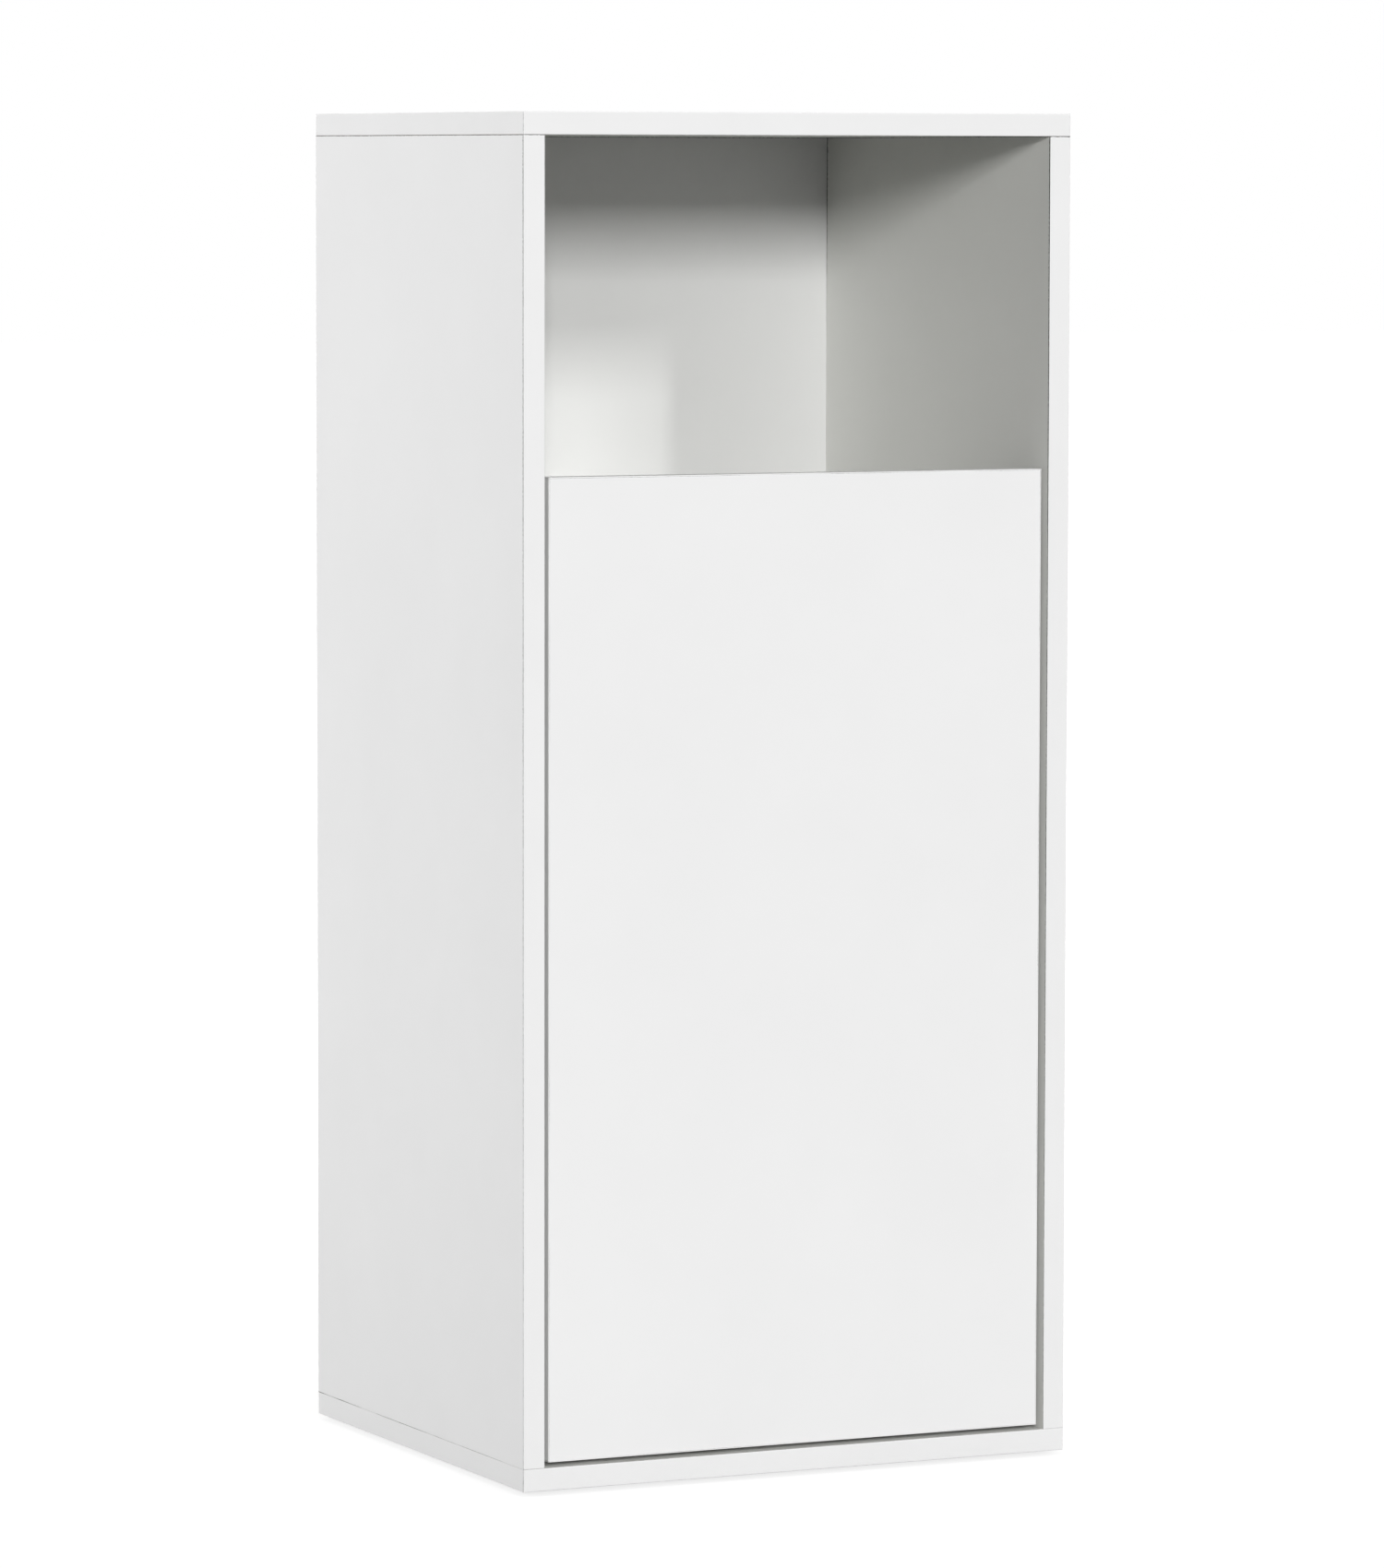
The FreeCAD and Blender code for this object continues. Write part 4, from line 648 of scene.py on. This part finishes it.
bpy.ops.object.select_all(action="DESELECT")
bpy.ops.mesh.primitive_plane_add(size=FLOOR_SIZE, location=(0.0, 0.0, cad_low.z))
floor = bpy.context.object
floor.name = "studio_floor"
floor_material = bpy.data.materials.new("pale_floor")
floor_material.use_nodes = True
floor_tree = floor_material.node_tree
floor_tree.nodes.clear()
floor_place = put(floor_tree, "TexCoord").outputs["Object"]
floor_reach = put(floor_tree, "VectorMath", {0: floor_place}, operation="LENGTH").outputs["Value"]
glow_strength = ranged(floor_tree, floor_reach, SHADOW_REACH, (FLOOR_GLOW, WHITE_GLOW))
matt_sheet = put(floor_tree, "BsdfDiffuse", {"Color": FLOOR_GREY}).outputs["BSDF"]
glow = put(floor_tree, "Emission", {"Strength": glow_strength}).outputs["Emission"]
pale_sheet = put(floor_tree, "AddShader", {0: matt_sheet, 1: glow}).outputs["Shader"]
ways = {0: seen_directly(floor_tree), 1: matt_sheet, 2: pale_sheet}
sheet = put(floor_tree, "MixShader", ways).outputs["Shader"]
put(floor_tree, "OutputMaterial", {"Surface": sheet})
floor.data.materials.append(floor_material)


# Studio light: a far key from beside the camera, a narrow strip and its spill from the front right, and
# broad fills for the other sides. The room is dim for the cabinet and plain white in the picture.
# Light is followed for two bounces between matt faces, which keeps the compartment's upper corner dark.
ROOM_WHITE = (1.0, 1.0, 1.0, 1.0)
ROOM_GLOW = 0.03
FAR_STAND = 45.0
BOUNCES = 2

world = bpy.data.worlds.new("studio")
world.use_nodes = True
world_tree = world.node_tree
world_tree.nodes.clear()
room_strength = between(world_tree, seen_directly(world_tree), ROOM_GLOW, WHITE_GLOW)
room = put(world_tree, "Background", {"Color": ROOM_WHITE, "Strength": room_strength}).outputs["Background"]
put(world_tree, "OutputWorld", {"Surface": room})
bpy.context.scene.world = world


def direction(azimuth, elevation):
    """Unit vector from the cabinet towards the given angles. Azimuth 0 is in front of the door."""
    flat = math.cos(elevation)
    return Vector((math.sin(azimuth) * flat, -math.cos(azimuth) * flat, math.sin(elevation)))


def softbox(name, azimuth, elevation, distance, width, height, level, glare=True):
    """Rectangular lamp. Its angles and its sizes are in degrees, seen from the compartment's upper edge.

    Its level is how bright it makes a white sheet that is turned to it. Without glare it isn't mirrored
    in gloss.
    """
    towards = direction(math.radians(azimuth), math.radians(elevation))
    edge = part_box("top_panel")[LOW]
    lamp = bpy.data.lights.new(name, "AREA")
    lamp.shape = "RECTANGLE"
    lamp.size = 2.0 * distance * math.tan(math.radians(width) / 2.0)
    lamp.size_y = 2.0 * distance * math.tan(math.radians(height) / 2.0)
    lamp.energy = level * (math.pi * distance) ** 2
    held = bpy.data.objects.new(name, lamp)
    held.location = Vector((0.0, edge.y, edge.z)) + distance * towards
    held.rotation_euler = (-towards).to_track_quat("-Z", "Y").to_euler()
    held.visible_camera = False
    held.visible_glossy = glare
    bpy.context.collection.objects.link(held)


softbox("key_light", azimuth=-22.5, elevation=11.4, distance=FAR_STAND, width=6.0, height=8.4, level=0.595)
softbox("strip_light", azimuth=20.3, elevation=23.5, distance=FAR_STAND, width=2.1, height=7.0, level=0.175)
softbox("strip_spill", azimuth=25.0, elevation=23.5, distance=FAR_STAND, width=9.4, height=7.0, level=0.205)
softbox(
    "front_left_fill", azimuth=-42.0, elevation=11.0, distance=12.0,
    width=18.0, height=10.0, level=0.09,
)
softbox(
    "left_fill", azimuth=-113.0, elevation=10.0, distance=3.6,
    width=22.0, height=28.0, level=0.56, glare=False,
)
softbox(
    "right_rear_fill", azimuth=128.0, elevation=8.0, distance=7.0,
    width=26.0, height=16.0, level=0.74, glare=False,
)
softbox(
    "top_fill", azimuth=0.0, elevation=90.0, distance=8.0,
    width=12.0, height=12.0, level=0.32, glare=False,
)
bpy.context.scene.cycles.diffuse_bounces = BOUNCES


# Camera: a long lens at the front left, a little below the top of the cabinet and turned slightly down.
# Its place, turn and length were fitted to the cabinet's outer edges. Nothing is shifted or out of focus.
CAMERA_PLACE = (-2.2108, -4.6705, 0.8713)
CAMERA_AZIMUTH = math.radians(-25.3706)
CAMERA_ELEVATION = math.radians(4.6683)
CAMERA_ROLL = math.radians(0.1052)
LENS_MM = 174.378
SIGHT_LIMIT = 200.0

lens = bpy.data.cameras.new("camera")
lens.lens = LENS_MM
lens.clip_end = SIGHT_LIMIT
camera = bpy.data.objects.new("camera", lens)
backward = direction(CAMERA_AZIMUTH, CAMERA_ELEVATION)
level_right = Vector((0.0, 0.0, 1.0)).cross(backward).normalized()
level_up = backward.cross(level_right)
right = level_right * math.cos(CAMERA_ROLL) + level_up * math.sin(CAMERA_ROLL)
up = level_up * math.cos(CAMERA_ROLL) - level_right * math.sin(CAMERA_ROLL)
camera.matrix_world = Matrix.Translation(CAMERA_PLACE) @ Matrix((right, up, backward)).transposed().to_4x4()
bpy.context.collection.objects.link(camera)
bpy.context.scene.camera = camera
bpy.context.scene.view_settings.view_transform = "Standard"
